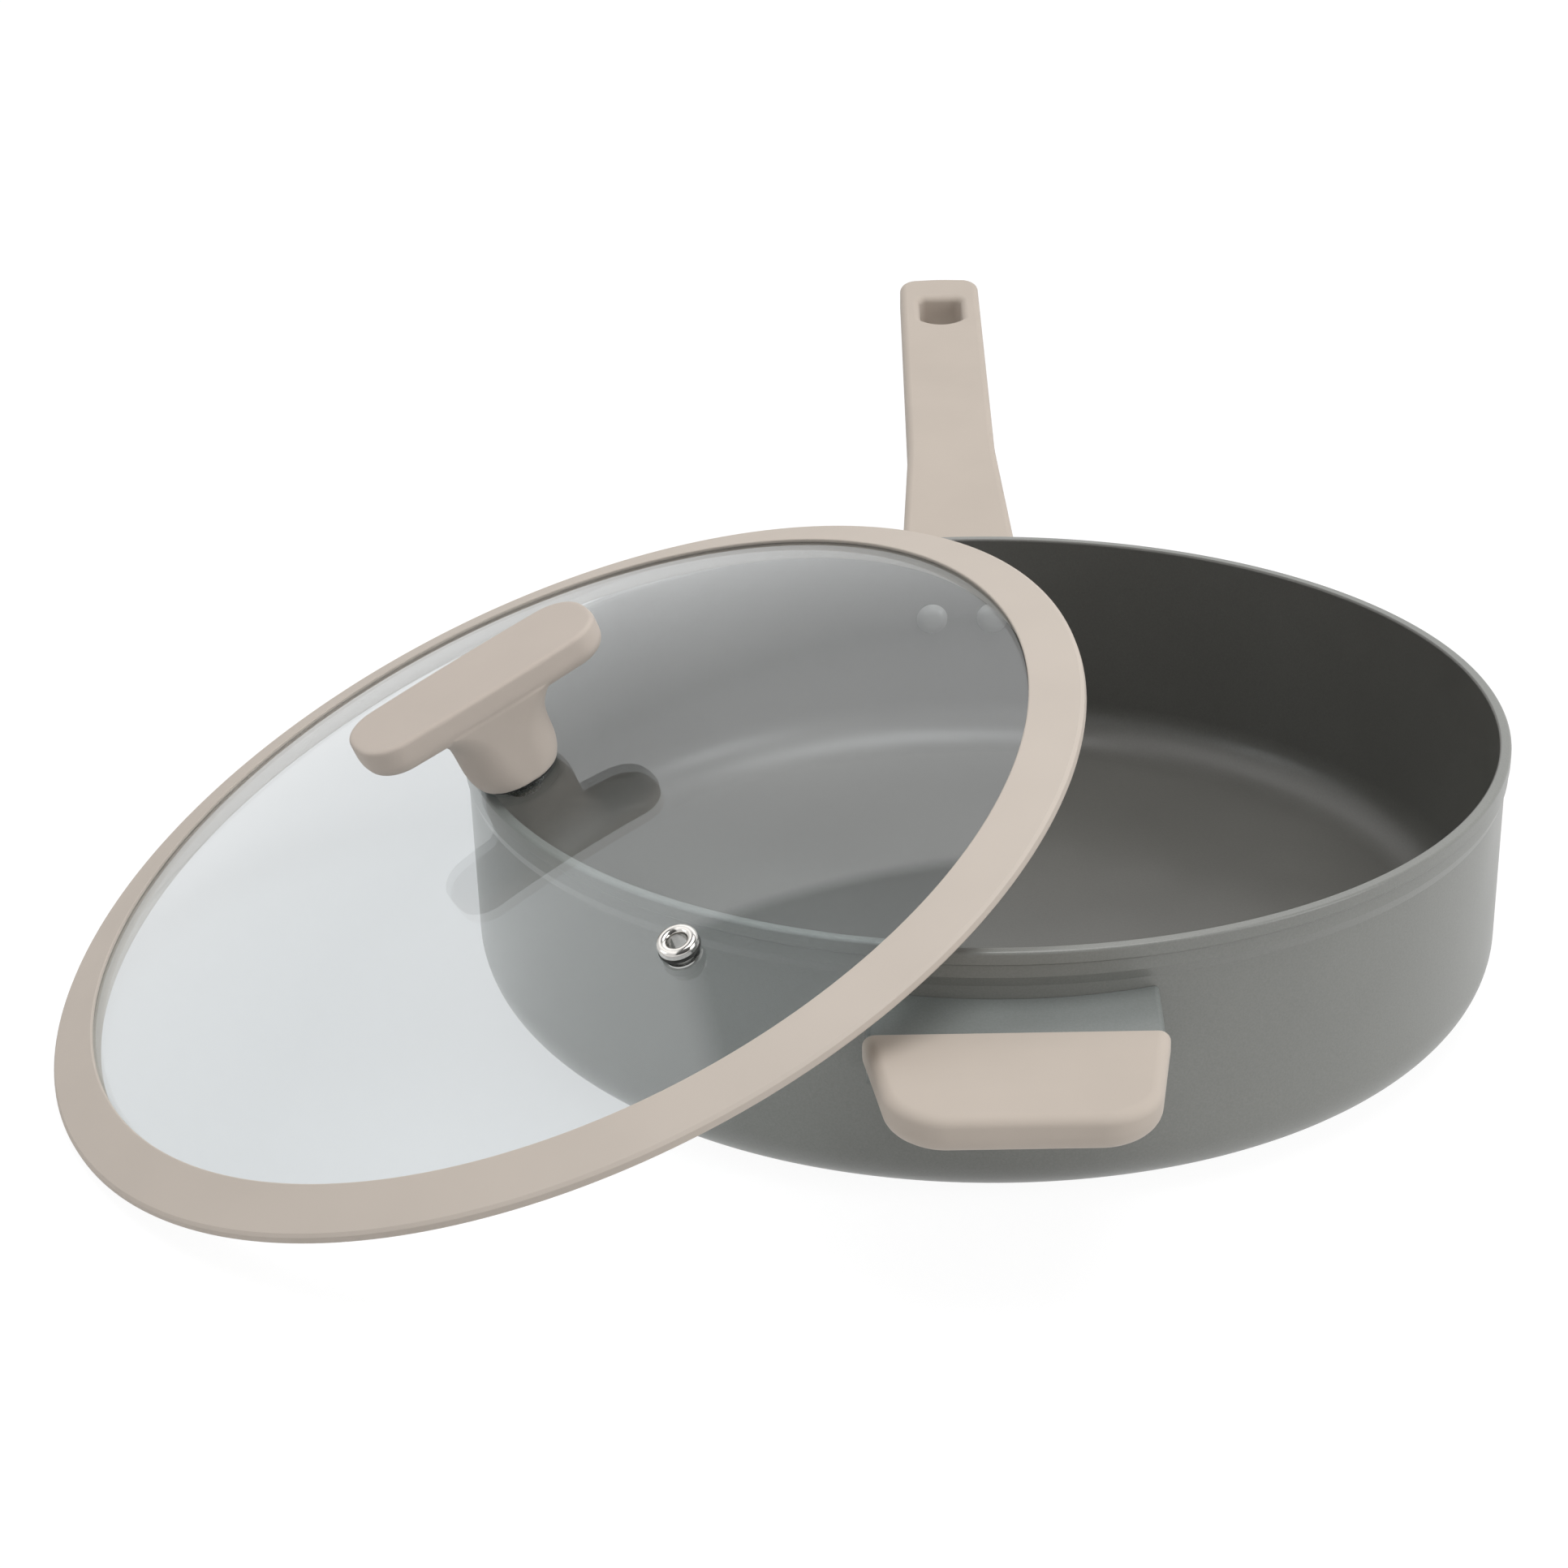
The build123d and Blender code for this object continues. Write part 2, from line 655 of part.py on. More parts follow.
vent_out = Vector(lid_down).rotate(Axis((0, 0, 0), lid_up), vent_turn)
vent_angle = asin(vent_distance / (dome_radius + glass_thickness))
vent_up = lid_up * cos(vent_angle) + vent_out * sin(vent_angle)
sphere_centre = lid_centre - lid_up * dome_drop
vent_foot = sphere_centre + vent_up * (dome_radius + glass_thickness)
vent_cross = lid_up.cross(vent_out)
vent_plane = Plane(vent_foot, x_dir=vent_cross, z_dir=vent_up)
vent_section = Plane(vent_foot, x_dir=vent_cross, z_dir=vent_cross.cross(vent_up))
vent_axis = Axis(vent_foot, vent_up)

with BuildPart() as lid_glass:
    revolve(glass_shell(0), axis=lid_axis)
    with BuildSketch(lid_plane):
        Circle(glass_knob_hole_radius)
    extrude(amount=dome_height + glass_thickness + overrun, mode=Mode.SUBTRACT)
    with BuildSketch(vent_plane.offset(overrun)):
        Circle(eyelet_tube_radius + socket_gap)
    extrude(amount=-glass_thickness - 2 * overrun, mode=Mode.SUBTRACT)
save(lid_glass, "lid_glass")

# Silicone ring: it grips the glass's edge, seats on the rim and has a short plug that centres it
with BuildPart() as lid_ring:
    plug_radius = pan_bore_radius - plug_gap
    ring_lip_height = over_glass(ring_bore_radius) + ring_lip_cover
    with BuildSketch(lid_section) as ring_section:
        with BuildLine():
            Polyline(
                (ring_bore_radius, ring_lip_height),
                (ring_radius, ring_edge_height),
                (ring_radius, 0),
                (plug_radius, 0),
                (plug_radius, -plug_depth),
                (ring_bore_radius, -plug_depth),
                close=True,
            )
        make_face()
        fillet(corner(ring_section, ring_bore_radius, ring_lip_height), ring_lip_round)
        fillet(corner(ring_section, ring_radius, ring_edge_height), ring_edge_round)
        fillet(corner(ring_section, ring_radius, 0), ring_edge_round)
        fillet(corner(ring_section, plug_radius, -plug_depth), plug_round)
        fillet(corner(ring_section, ring_bore_radius, -plug_depth), plug_round)
    revolve(axis=lid_axis)
    revolve(glass_shell(glass_grip_gap), axis=lid_axis, mode=Mode.SUBTRACT)
save(lid_ring, "lid_ring")

# Knob stack, from the glass upwards
knob_along = Vector(lid_down).rotate(Axis((0, 0, 0), lid_up), knob_turn)
stack_foot = lid_centre + lid_up * (dome_height + glass_thickness)
gasket_plane = Plane(stack_foot, x_dir=knob_along, z_dir=lid_up)
knob_plane = gasket_plane.offset(gasket_thickness)

with BuildPart() as knob_gasket:
    with BuildSketch(gasket_plane):
        Circle(gasket_radius)
        Circle(glass_knob_hole_radius, mode=Mode.SUBTRACT)
    extrude(amount=gasket_thickness)
save(knob_gasket, "knob_gasket")

with BuildPart() as lid_knob:
    with BuildSketch(knob_plane.offset(knob_stem_height)) as bar_plan:
        end = knob_bar_length / 2
        with BuildLine():
            for side in (1, -1):
                ThreePointArc(
                    (side * end, side * knob_bar_end_width / 2),
                    (0, side * knob_bar_width / 2),
                    (-side * end, side * knob_bar_end_width / 2),
                )
                ThreePointArc(
                    (side * end, side * knob_bar_end_width / 2),
                    (side * (end + knob_bar_end_bow), 0),
                    (side * end, -side * knob_bar_end_width / 2),
                )
        make_face()
        fillet(bar_plan.vertices(), knob_bar_end_width * knob_bar_corner_share)
    extrude(amount=knob_bar_thickness)
    fillet(lid_knob.faces().sort_by(lid_axis)[-1].edges(), knob_bar_top_round)
    fillet(lid_knob.faces().sort_by(lid_axis)[0].edges(), knob_bar_under_round)
    for level, share in enumerate(knob_stem_level_shares):
        with BuildSketch(knob_plane.offset(knob_stem_height * share)):
            RectangleRounded(knob_stem_lengths[level], knob_stem_widths[level], knob_stem_corners[level])
    loft()
    with BuildSketch(knob_plane):
        Circle(insert_radius + press_gap)
    extrude(amount=insert_length + press_gap, mode=Mode.SUBTRACT)
save(lid_knob, "lid_knob")

with BuildPart() as knob_insert:
    with BuildSketch(knob_plane):
        Circle(insert_radius)
    extrude(amount=insert_length)
    with BuildSketch(knob_plane):
        Circle(knob_screw_radius + press_gap)
    extrude(amount=insert_bore_depth, mode=Mode.SUBTRACT)
save(knob_insert, "knob_insert")

# Fixings below the glass
seal_plane = Plane(lid_centre + lid_up * under_glass(under_seal_radius), x_dir=knob_along, z_dir=lid_up)

with BuildPart() as knob_under_seal:
    with BuildSketch(seal_plane):
        Circle(under_seal_radius)
        Circle(knob_screw_radius + socket_gap, mode=Mode.SUBTRACT)
    extrude(amount=-under_seal_thickness)
save(knob_under_seal, "knob_under_seal")

washer_plane = seal_plane.offset(-under_seal_thickness)
with BuildPart() as knob_washer:
    with BuildSketch(washer_plane):
        Circle(washer_radius)
        Circle(knob_screw_radius + socket_gap, mode=Mode.SUBTRACT)
    extrude(amount=-washer_thickness)
save(knob_washer, "knob_washer")

head_plane = washer_plane.offset(-washer_thickness)
with BuildPart() as knob_screw:
    with BuildSketch(head_plane):
        Circle(knob_screw_head_radius)
    extrude(amount=-knob_screw_head_height)
    fillet(knob_screw.faces().sort_by(lid_axis)[0].edges(), knob_screw_head_height / 2)
    with BuildSketch(head_plane):
        Circle(knob_screw_radius)
    extrude(amount=(stack_foot - head_plane.origin).dot(lid_up) + gasket_thickness + knob_screw_reach)
    for turn in (0, 90):
        with BuildSketch(head_plane.offset(-knob_screw_head_height).rotated((0, 0, turn))):
            Rectangle(knob_screw_head_radius, screw_slot_width)
        extrude(amount=screw_slot_depth, mode=Mode.SUBTRACT)
save(knob_screw, "knob_screw")

# Steam vent: a seal on the glass and a rolled eyelet through both
with BuildPart() as vent_seal:
    with BuildSketch(vent_plane):
        Circle(vent_seal_radius)
        Circle(eyelet_tube_radius + press_gap, mode=Mode.SUBTRACT)
    extrude(amount=vent_seal_height)
save(vent_seal, "vent_seal")

with BuildPart() as vent_eyelet:
    rolled_under = -glass_thickness - seat_gap
    rolled_over = vent_seal_height
    crest = rolled_over + eyelet_height
    with BuildSketch(vent_section) as eyelet_section:
        with BuildLine():
            Polyline(
                (eyelet_bore_radius, rolled_under - eyelet_under_height),
                (eyelet_under_radius, rolled_under - eyelet_under_height),
                (eyelet_under_radius, rolled_under),
                (eyelet_tube_radius, rolled_under),
                (eyelet_tube_radius, rolled_over),
                (eyelet_radius, rolled_over),
                (eyelet_radius, crest),
                (eyelet_bore_radius, crest),
                close=True,
            )
        make_face()
        fillet(corner(eyelet_section, eyelet_radius, crest), eyelet_round)
        fillet(corner(eyelet_section, eyelet_bore_radius, crest), eyelet_round)
        fillet(corner(eyelet_section, eyelet_under_radius, rolled_under - eyelet_under_height), eyelet_under_height / 2)
    revolve(axis=vent_axis)
save(vent_eyelet, "vent_eyelet")
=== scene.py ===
from math import cos, pi, radians, sin, sqrt, tan

import bmesh
import bpy
from mathutils import Matrix, Vector


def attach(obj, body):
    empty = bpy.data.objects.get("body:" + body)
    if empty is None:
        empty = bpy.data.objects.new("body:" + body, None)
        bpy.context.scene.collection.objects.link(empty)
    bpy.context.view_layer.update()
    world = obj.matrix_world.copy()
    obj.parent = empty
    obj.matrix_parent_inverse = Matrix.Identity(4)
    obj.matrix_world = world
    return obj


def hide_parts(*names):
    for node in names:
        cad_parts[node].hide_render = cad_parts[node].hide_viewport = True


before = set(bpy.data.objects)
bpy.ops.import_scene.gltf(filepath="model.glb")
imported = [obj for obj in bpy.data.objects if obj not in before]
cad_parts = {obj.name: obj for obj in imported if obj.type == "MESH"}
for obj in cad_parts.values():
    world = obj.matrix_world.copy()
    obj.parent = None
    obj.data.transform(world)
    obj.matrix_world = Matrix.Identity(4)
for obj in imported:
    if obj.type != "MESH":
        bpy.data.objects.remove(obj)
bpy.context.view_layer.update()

# Lengths below are in millimetres, save those of shader sockets, floor, lamps and camera, which
# are in metres. Every piece is scaled to metres as it is put in place.
MM = 0.001
# Points nearer than WELD are merged, and a point within NEAR of a line counts as on it
WELD = 0.0005
NEAR = 0.01

# The pan stands on the origin with its long handle along +Y
PAN_BORE = 140.0
PAN_RIM = 143.2
PAN_HEIGHT = 72.0
PAN_FLOOR = 4.6
WALL_TOP = 142.05
STEP_TOP = 142.85
PLATE_RADIUS = 98.0
PLATE_THICKNESS = 1.2

RIVET_LEVEL = 45.5
RIVET_AZIMUTH = 3.915
RIVET_SHANK = 2.6
RIVET_HEAD = 4.9
RIVET_TAIL = 3.7

GRIP_RISE = 12.0
GRIP_ROOT = (0, 162.0, 62.5)
GRIP_LENGTH = 181.0
GRIP_DEPTH = 21.0
GRIP_THINNING = -7.0 / 183.0

TONGUE_ROOT = -155.4
TONGUE_FRONT = -193.9
TONGUE_THICKNESS = 12.0
TONGUE_LEVEL = 57.2
TONGUE_CREASE = -163.4
TONGUE_FALL = 1.4
RECESS_RADIUS = 3.8

# The lid leans on the pan's left rim
LID_CENTRE = Vector((-115.43678, -45.47175, 54.41756))
LID_LEAN = 21.66
LID_AZIMUTH = 201.5

DOME_RADIUS = 430.3101
DOME_HEIGHT = 23.6
GLASS_THICKNESS = 3.8
GLASS_EDGE = 138.8
GLASS_HOLE = 4.0
RING_BORE = 134.4
RING_SEAT = 138.85
RING_EDGE = 148.0

KNOB_TURN = 5.0
KNOB_LEVEL = 28.2
STEM_HEIGHT = 21.0
BAR_THICKNESS = 9.2

VENT_DISTANCE = 98.2
VENT_TURN = 93.5


# ---------------------------------------------------------------- materials

# The span in which the values of a noise texture mostly lie. A noise's scale is in cells per
# metre, so that 1000 makes grains of 1 mm.
NOISE_SPAN = {"From Min": 0.3, "From Max": 0.7}

# The coating is the pan's inner one within CORE_MARGIN of an upright cylinder of CORE_RADIUS
# that begins at the height of CORE_FOOT
CORE_RADIUS = 125.0
CORE_FOOT = 18.0
CORE_MARGIN = 15.5


def linear(hex_colour):
    """An sRGB hex colour as the linear colour that shaders take."""
    parts = [int(hex_colour[i : i + 2], 16) / 255 for i in (1, 3, 5)]
    return (*(c / 12.92 if c <= 0.04045 else ((c + 0.055) / 1.055) ** 2.4 for c in parts), 1.0)


def add(tree, kind, sockets=(), **settings):
    """Adds a node, sets its settings, and sets or links its sockets."""
    made = tree.nodes.new(kind)
    for name, value in settings.items():
        setattr(made, name, value)
    for key, value in dict(sockets).items():
        if isinstance(value, bpy.types.NodeSocket):
            tree.links.new(value, made.inputs[key])
        else:
            made.inputs[key].default_value = value
    return made


def blank(name):
    """A material with an empty node tree."""
    material = bpy.data.materials.new(name)
    material.use_nodes = True
    material.node_tree.nodes.clear()
    return material, material.node_tree


def sprayed_nonstick(name, outer, inner):
    """Cast aluminium under a sprayed ceramic-look coating, one tone outside and one inside.

    The eye gets a fine orange-peel skin with small mineral specks, and a broad soft highlight.
    """
    material, tree = blank(name)
    place = add(tree, "ShaderNodeTexCoord").outputs["Object"]
    split = add(tree, "ShaderNodeSeparateXYZ", {0: place})
    flat = add(tree, "ShaderNodeCombineXYZ", {0: split.outputs[0], 1: split.outputs[1]})
    reach = add(tree, "ShaderNodeVectorMath", {0: flat.outputs[0]}, operation="LENGTH")
    past = add(
        tree,
        "ShaderNodeMath",
        {0: reach.outputs["Value"], 1: CORE_RADIUS * MM},
        operation="SUBTRACT",
    )
    past = add(tree, "ShaderNodeMath", {0: past.outputs[0], 1: 0.0}, operation="MAXIMUM")
    under = add(
        tree, "ShaderNodeMath", {0: CORE_FOOT * MM, 1: split.outputs[2]}, operation="SUBTRACT"
    )
    under = add(tree, "ShaderNodeMath", {0: under.outputs[0], 1: 0.0}, operation="MAXIMUM")
    away = add(tree, "ShaderNodeCombineXYZ", {0: past.outputs[0], 1: under.outputs[0]})
    away = add(tree, "ShaderNodeVectorMath", {0: away.outputs[0]}, operation="LENGTH")
    inside = add(
        tree,
        "ShaderNodeMath",
        {0: away.outputs["Value"], 1: CORE_MARGIN * MM},
        operation="LESS_THAN",
    )
    # Specks of about 0.5 mm, and a slow drift of tone as a spray gun leaves it
    specks = add(tree, "ShaderNodeTexNoise", {"Vector": place, "Scale": 1900.0, "Detail": 2.0})
    drift = add(tree, "ShaderNodeTexNoise", {"Vector": place, "Scale": 22.0, "Detail": 2.0})
    speck_tone = add(
        tree,
        "ShaderNodeMapRange",
        {"Value": specks.outputs["Fac"], **NOISE_SPAN, "To Min": 0.94, "To Max": 1.06},
    )
    drift_tone = add(
        tree,
        "ShaderNodeMapRange",
        {"Value": drift.outputs["Fac"], **NOISE_SPAN, "To Min": 0.96, "To Max": 1.04},
    )
    tone = add(
        tree,
        "ShaderNodeMath",
        {0: speck_tone.outputs[0], 1: drift_tone.outputs[0]},
        operation="MULTIPLY",
    )
    colour = add(
        tree,
        "ShaderNodeMix",
        {0: inside.outputs[0], 6: linear(outer), 7: linear(inner)},
        data_type="RGBA",
    )
    colour = add(
        tree,
        "ShaderNodeVectorMath",
        {0: colour.outputs[2], "Scale": tone.outputs[0]},
        operation="SCALE",
    )
    # Orange peel of about 0.8 mm
    skin = add(tree, "ShaderNodeTexNoise", {"Vector": place, "Scale": 1300.0, "Detail": 2.0})
    peel = add(
        tree,
        "ShaderNodeBump",
        {"Height": skin.outputs["Fac"], "Strength": 0.03, "Distance": 0.0002},
    )
    gloss = add(
        tree,
        "ShaderNodeMapRange",
        {"Value": drift.outputs["Fac"], **NOISE_SPAN, "To Min": 0.3, "To Max": 0.38},
    )
    coat = add(
        tree,
        "ShaderNodeBsdfPrincipled",
        {
            "Base Color": colour.outputs[0],
            "Roughness": gloss.outputs[0],
            "Normal": peel.outputs[0],
            "IOR": 1.5,
        },
    )
    add(tree, "ShaderNodeOutputMaterial", {0: coat.outputs[0]})
    return material


def soft_touch(name, hex_colour):
    """Thermoplastic under a soft-touch paint: a beige with no gloss line, only a velvety sheen."""
    material, tree = blank(name)
    place = add(tree, "ShaderNodeTexCoord").outputs["Object"]
    cloud = add(tree, "ShaderNodeTexNoise", {"Vector": place, "Scale": 35.0, "Detail": 3.0})
    tone = add(
        tree,
        "ShaderNodeMapRange",
        {"Value": cloud.outputs["Fac"], **NOISE_SPAN, "To Min": 0.975, "To Max": 1.02},
    )
    colour = add(
        tree,
        "ShaderNodeVectorMath",
        {0: linear(hex_colour)[:3], "Scale": tone.outputs[0]},
        operation="SCALE",
    )
    # Grain of about 0.4 mm, several times coarser than the real one so that it shows
    grain = add(tree, "ShaderNodeTexNoise", {"Vector": place, "Scale": 2500.0, "Detail": 2.0})
    rough = add(
        tree,
        "ShaderNodeBump",
        {"Height": grain.outputs["Fac"], "Strength": 0.15, "Distance": 0.0001},
    )
    skin = add(
        tree,
        "ShaderNodeBsdfPrincipled",
        {
            "Base Color": colour.outputs[0],
            "Roughness": 0.75,
            "IOR": 1.45,
            "Specular IOR Level": 0.3,
            "Sheen Weight": 0.12,
            "Sheen Roughness": 0.5,
            "Normal": rough.outputs[0],
        },
    )
    add(tree, "ShaderNodeOutputMaterial", {0: skin.outputs[0]})
    return material


def moulded_silicone():
    """Platinum silicone from a fine-blasted mould: beige, with a dull satin highlight."""
    material, tree = blank("moulded_silicone")
    place = add(tree, "ShaderNodeTexCoord").outputs["Object"]
    cloud = add(tree, "ShaderNodeTexNoise", {"Vector": place, "Scale": 28.0, "Detail": 2.0})
    tone = add(
        tree,
        "ShaderNodeMapRange",
        {"Value": cloud.outputs["Fac"], **NOISE_SPAN, "To Min": 0.975, "To Max": 1.02},
    )
    colour = add(
        tree,
        "ShaderNodeVectorMath",
        {0: linear("#c2b8ae")[:3], "Scale": tone.outputs[0]},
        operation="SCALE",
    )
    # Grain of about 0.7 mm, coarser than the real one so that it shows
    grain = add(tree, "ShaderNodeTexNoise", {"Vector": place, "Scale": 1400.0, "Detail": 2.0})
    rough = add(
        tree,
        "ShaderNodeBump",
        {"Height": grain.outputs["Fac"], "Strength": 0.08, "Distance": 0.0001},
    )
    skin = add(
        tree,
        "ShaderNodeBsdfPrincipled",
        {
            "Base Color": colour.outputs[0],
            "Roughness": 0.65,
            "IOR": 1.41,
            "Specular IOR Level": 0.3,
            "Normal": rough.outputs[0],
        },
    )
    add(tree, "ShaderNodeOutputMaterial", {0: skin.outputs[0]})
    return material


def tempered_glass():
    """Pressed soda-lime glass, tempered: clear with a faint cool tint and slow waves."""
    material, tree = blank("tempered_soda_lime_glass")
    place = add(tree, "ShaderNodeTexCoord").outputs["Object"]
    # Waves from the press, about 110 mm long
    wave = add(tree, "ShaderNodeTexNoise", {"Vector": place, "Scale": 9.0, "Detail": 0.0})
    press = add(
        tree,
        "ShaderNodeBump",
        {"Height": wave.outputs["Fac"], "Strength": 0.02, "Distance": 0.002},
    )
    glass = add(
        tree,
        "ShaderNodeBsdfPrincipled",
        {
            "Base Color": linear("#ebeff1"),
            "Roughness": 0.0,
            "IOR": 1.54,
            "Transmission Weight": 1.0,
            "Normal": press.outputs[0],
        },
    )
    # Light goes through as through a clear sheet, so that the pan isn't dark under the lid
    ray = add(tree, "ShaderNodeLightPath")
    clear = add(tree, "ShaderNodeBsdfTransparent", {"Color": linear("#e0e5e5")})
    both = add(
        tree,
        "ShaderNodeMixShader",
        {0: ray.outputs["Is Shadow Ray"], 1: glass.outputs[0], 2: clear.outputs[0]},
    )
    add(tree, "ShaderNodeOutputMaterial", {0: both.outputs[0]})
    return material


def turned_metal(name, hex_colour, roughness, mark_width):
    """A turned metal face: fine tool marks that blur its highlights a little."""
    material, tree = blank(name)
    place = add(tree, "ShaderNodeTexCoord").outputs["Object"]
    grain = add(
        tree,
        "ShaderNodeTexNoise",
        {"Vector": place, "Scale": 1 / (mark_width * MM), "Detail": 3.0},
    )
    gloss = add(
        tree,
        "ShaderNodeMapRange",
        {
            "Value": grain.outputs["Fac"],
            **NOISE_SPAN,
            "To Min": roughness * 0.8,
            "To Max": roughness * 1.2,
        },
    )
    marks = add(
        tree,
        "ShaderNodeBump",
        {"Height": grain.outputs["Fac"], "Strength": 0.1, "Distance": 0.00005},
    )
    metal = add(
        tree,
        "ShaderNodeBsdfPrincipled",
        {
            "Base Color": linear(hex_colour),
            "Metallic": 1.0,
            "Roughness": gloss.outputs[0],
            "Normal": marks.outputs[0],
        },
    )
    add(tree, "ShaderNodeOutputMaterial", {0: metal.outputs[0]})
    return material


def brushed_plate():
    """Ferritic stainless sheet, brushed in circles: bright arcs round the underside's middle."""
    material, tree = blank("circle_brushed_stainless")
    place = add(tree, "ShaderNodeTexCoord").outputs["Object"]
    split = add(tree, "ShaderNodeSeparateXYZ", {0: place})
    flat = add(tree, "ShaderNodeCombineXYZ", {0: split.outputs[0], 1: split.outputs[1]})
    reach = add(tree, "ShaderNodeVectorMath", {0: flat.outputs[0]}, operation="LENGTH")
    # Brush lines about 0.4 mm apart: noise that changes along the radius only
    line = add(tree, "ShaderNodeCombineXYZ", {0: reach.outputs["Value"]})
    lines = add(
        tree, "ShaderNodeTexNoise", {"Vector": line.outputs[0], "Scale": 2500.0, "Detail": 4.0}
    )
    gloss = add(
        tree,
        "ShaderNodeMapRange",
        {"Value": lines.outputs["Fac"], **NOISE_SPAN, "To Min": 0.24, "To Max": 0.42},
    )
    brush = add(
        tree,
        "ShaderNodeBump",
        {"Height": lines.outputs["Fac"], "Strength": 0.2, "Distance": 0.00008},
    )
    metal = add(
        tree,
        "ShaderNodeBsdfPrincipled",
        {
            "Base Color": linear("#b9b8b4"),
            "Metallic": 1.0,
            "Roughness": gloss.outputs[0],
            "Normal": brush.outputs[0],
        },
    )
    add(tree, "ShaderNodeOutputMaterial", {0: metal.outputs[0]})
    return material


def moulded_rubber():
    """Black moulded EPDM: nearly black, dull, with a faint bloom."""
    material, tree = blank("moulded_black_rubber")
    place = add(tree, "ShaderNodeTexCoord").outputs["Object"]
    bloom = add(tree, "ShaderNodeTexNoise", {"Vector": place, "Scale": 400.0, "Detail": 3.0})
    tone = add(
        tree,
        "ShaderNodeMapRange",
        {"Value": bloom.outputs["Fac"], **NOISE_SPAN, "To Min": 0.8, "To Max": 1.25},
    )
    colour = add(
        tree,
        "ShaderNodeVectorMath",
        {0: linear("#232422")[:3], "Scale": tone.outputs[0]},
        operation="SCALE",
    )
    skin = add(
        tree,
        "ShaderNodeBsdfPrincipled",
        {"Base Color": colour.outputs[0], "Roughness": 0.6, "IOR": 1.5},
    )
    add(tree, "ShaderNodeOutputMaterial", {0: skin.outputs[0]})
    return material


COATING = sprayed_nonstick("sprayed_nonstick_coating", "#7e7f7b", "#5f5e5a")
# The brackets wear the pan's coating, but tinted cooler outside: a painted reflection of cool
# light from overhead
SHELF_COATING_PAINTED_REFLECTION = sprayed_nonstick("bracket_coating_painted_cool_reflection", "#767a78", "#5f5e5a")
# The rivets wear the pan's coating, but the heads inside are much lighter than the coating round
# them: a painted highlight on the domes
RIVET_COATING_PAINTED_HIGHLIGHT = sprayed_nonstick("rivet_coating_painted_highlight", "#7e7f7b", "#8f8f8c")
GRIP_SKIN = soft_touch("soft_touch_grip", "#bcb1a6")
KNOB_SKIN = soft_touch("soft_touch_knob", "#bfb4aa")
SILICONE = moulded_silicone()
GLASS = tempered_glass()
CHROME = turned_metal("chrome_plated_brass", "#cbc8c4", 0.18, 0.8)
STEEL = turned_metal("turned_stainless_steel", "#b5b4b0", 0.28, 0.5)
BRASS = turned_metal("turned_brass", "#c9a65a", 0.3, 0.5)
PLATE = brushed_plate()
RUBBER = moulded_rubber()


# ---------------------------------------------------------------- making pieces


def outline(bm, points, closed=True, upright=False):
    """A loop or a line through (x, y, corner radius) points, its corners rounded by a bevel."""
    verts = []
    for x, y, _ in points:
        at = (x, 0, y) if upright else (x, y, 0)
        verts += bmesh.ops.create_vert(bm, co=at)["vert"]
    pairs = list(zip(verts, verts[1:])) + ([(verts[-1], verts[0])] if closed else [])
    for a, b in pairs:
        bm.edges.new((a, b))
    places = [vert.co.copy() for vert in verts]
    for i, (_, _, radius) in enumerate(points):
        if not radius:
            continue
        before = places[i - 1] - places[i]
        after = places[(i + 1) % len(points)] - places[i]
        half = before.angle(after) / 2
        bmesh.ops.bevel(
            bm,
            geom=[verts[i]],
            affect="VERTICES",
            offset=radius / tan(half),
            offset_type="OFFSET",
            segments=max(3, int(2 + 6 * (pi / 2 - half) * sqrt(radius))),
            profile=0.5,
            material=-1,
        )
    return bm


def rounded(bm, edges, width, segments):
    """Rounds edges of a bmesh."""
    bmesh.ops.bevel(
        bm,
        geom=edges,
        affect="EDGES",
        offset=width,
        offset_type="OFFSET",
        segments=segments,
        profile=0.5,
        material=-1,
        clamp_overlap=False,
    )


def joined(bm, other):
    """Adds a second bmesh to a bmesh; the second is thrown away."""
    part = bpy.data.meshes.new("part")
    other.to_mesh(part)
    other.free()
    bm.from_mesh(part)
    bpy.data.meshes.remove(part)


def finish(bm, name, body, nodes, material, place=Matrix.Identity(4), sharp=35):
    """Merges, turns the faces outwards, shades smooth up to an angle, gives the piece a body."""
    bmesh.ops.remove_doubles(bm, verts=bm.verts, dist=WELD)
    bmesh.ops.recalc_face_normals(bm, faces=bm.faces)
    bmesh.ops.transform(bm, matrix=Matrix.Scale(MM, 4) @ place, verts=bm.verts)
    for face in bm.faces:
        face.smooth = True
    for edge in bm.edges:
        edge.smooth = edge.calc_face_angle(0) < radians(sharp)
    mesh = bpy.data.meshes.new(name)
    bm.to_mesh(mesh)
    bm.free()
    mesh.materials.append(material)
    piece = bpy.data.objects.new(name, mesh)
    bpy.context.scene.collection.objects.link(piece)
    even = piece.modifiers.new("even_shading", "WEIGHTED_NORMAL")
    even.weight = 100
    even.keep_sharp = True
    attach(piece, body)
    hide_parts(*nodes)
    return piece


def turned(points, closed=True, steps=192):
    """A section of (radius, height, corner radius) points spun round the z axis."""
    bm = outline(bmesh.new(), points, closed, upright=True)
    bmesh.ops.spin(
        bm,
        geom=bm.verts[:] + bm.edges[:],
        cent=(0, 0, 0),
        axis=(0, 0, 1),
        dvec=(0, 0, 0),
        angle=2 * pi,
        steps=steps,
        use_merge=True,
    )
    bmesh.ops.remove_doubles(bm, verts=bm.verts, dist=WELD)
    return bm


def block(points, depth, taper=0.0):
    """A straight-sided plate of an outline, its top at height 0, its thickness tapered along x."""
    bm = outline(bmesh.new(), points)
    top = bmesh.ops.contextual_create(bm, geom=bm.edges[:])["faces"]
    spread = bmesh.ops.extrude_face_region(bm, geom=top, use_keep_orig=True)
    for item in spread["geom"]:
        if isinstance(item, bmesh.types.BMVert):
            item.co.z = -(depth + taper * item.co.x)
    bmesh.ops.recalc_face_normals(bm, faces=bm.faces)
    return bm


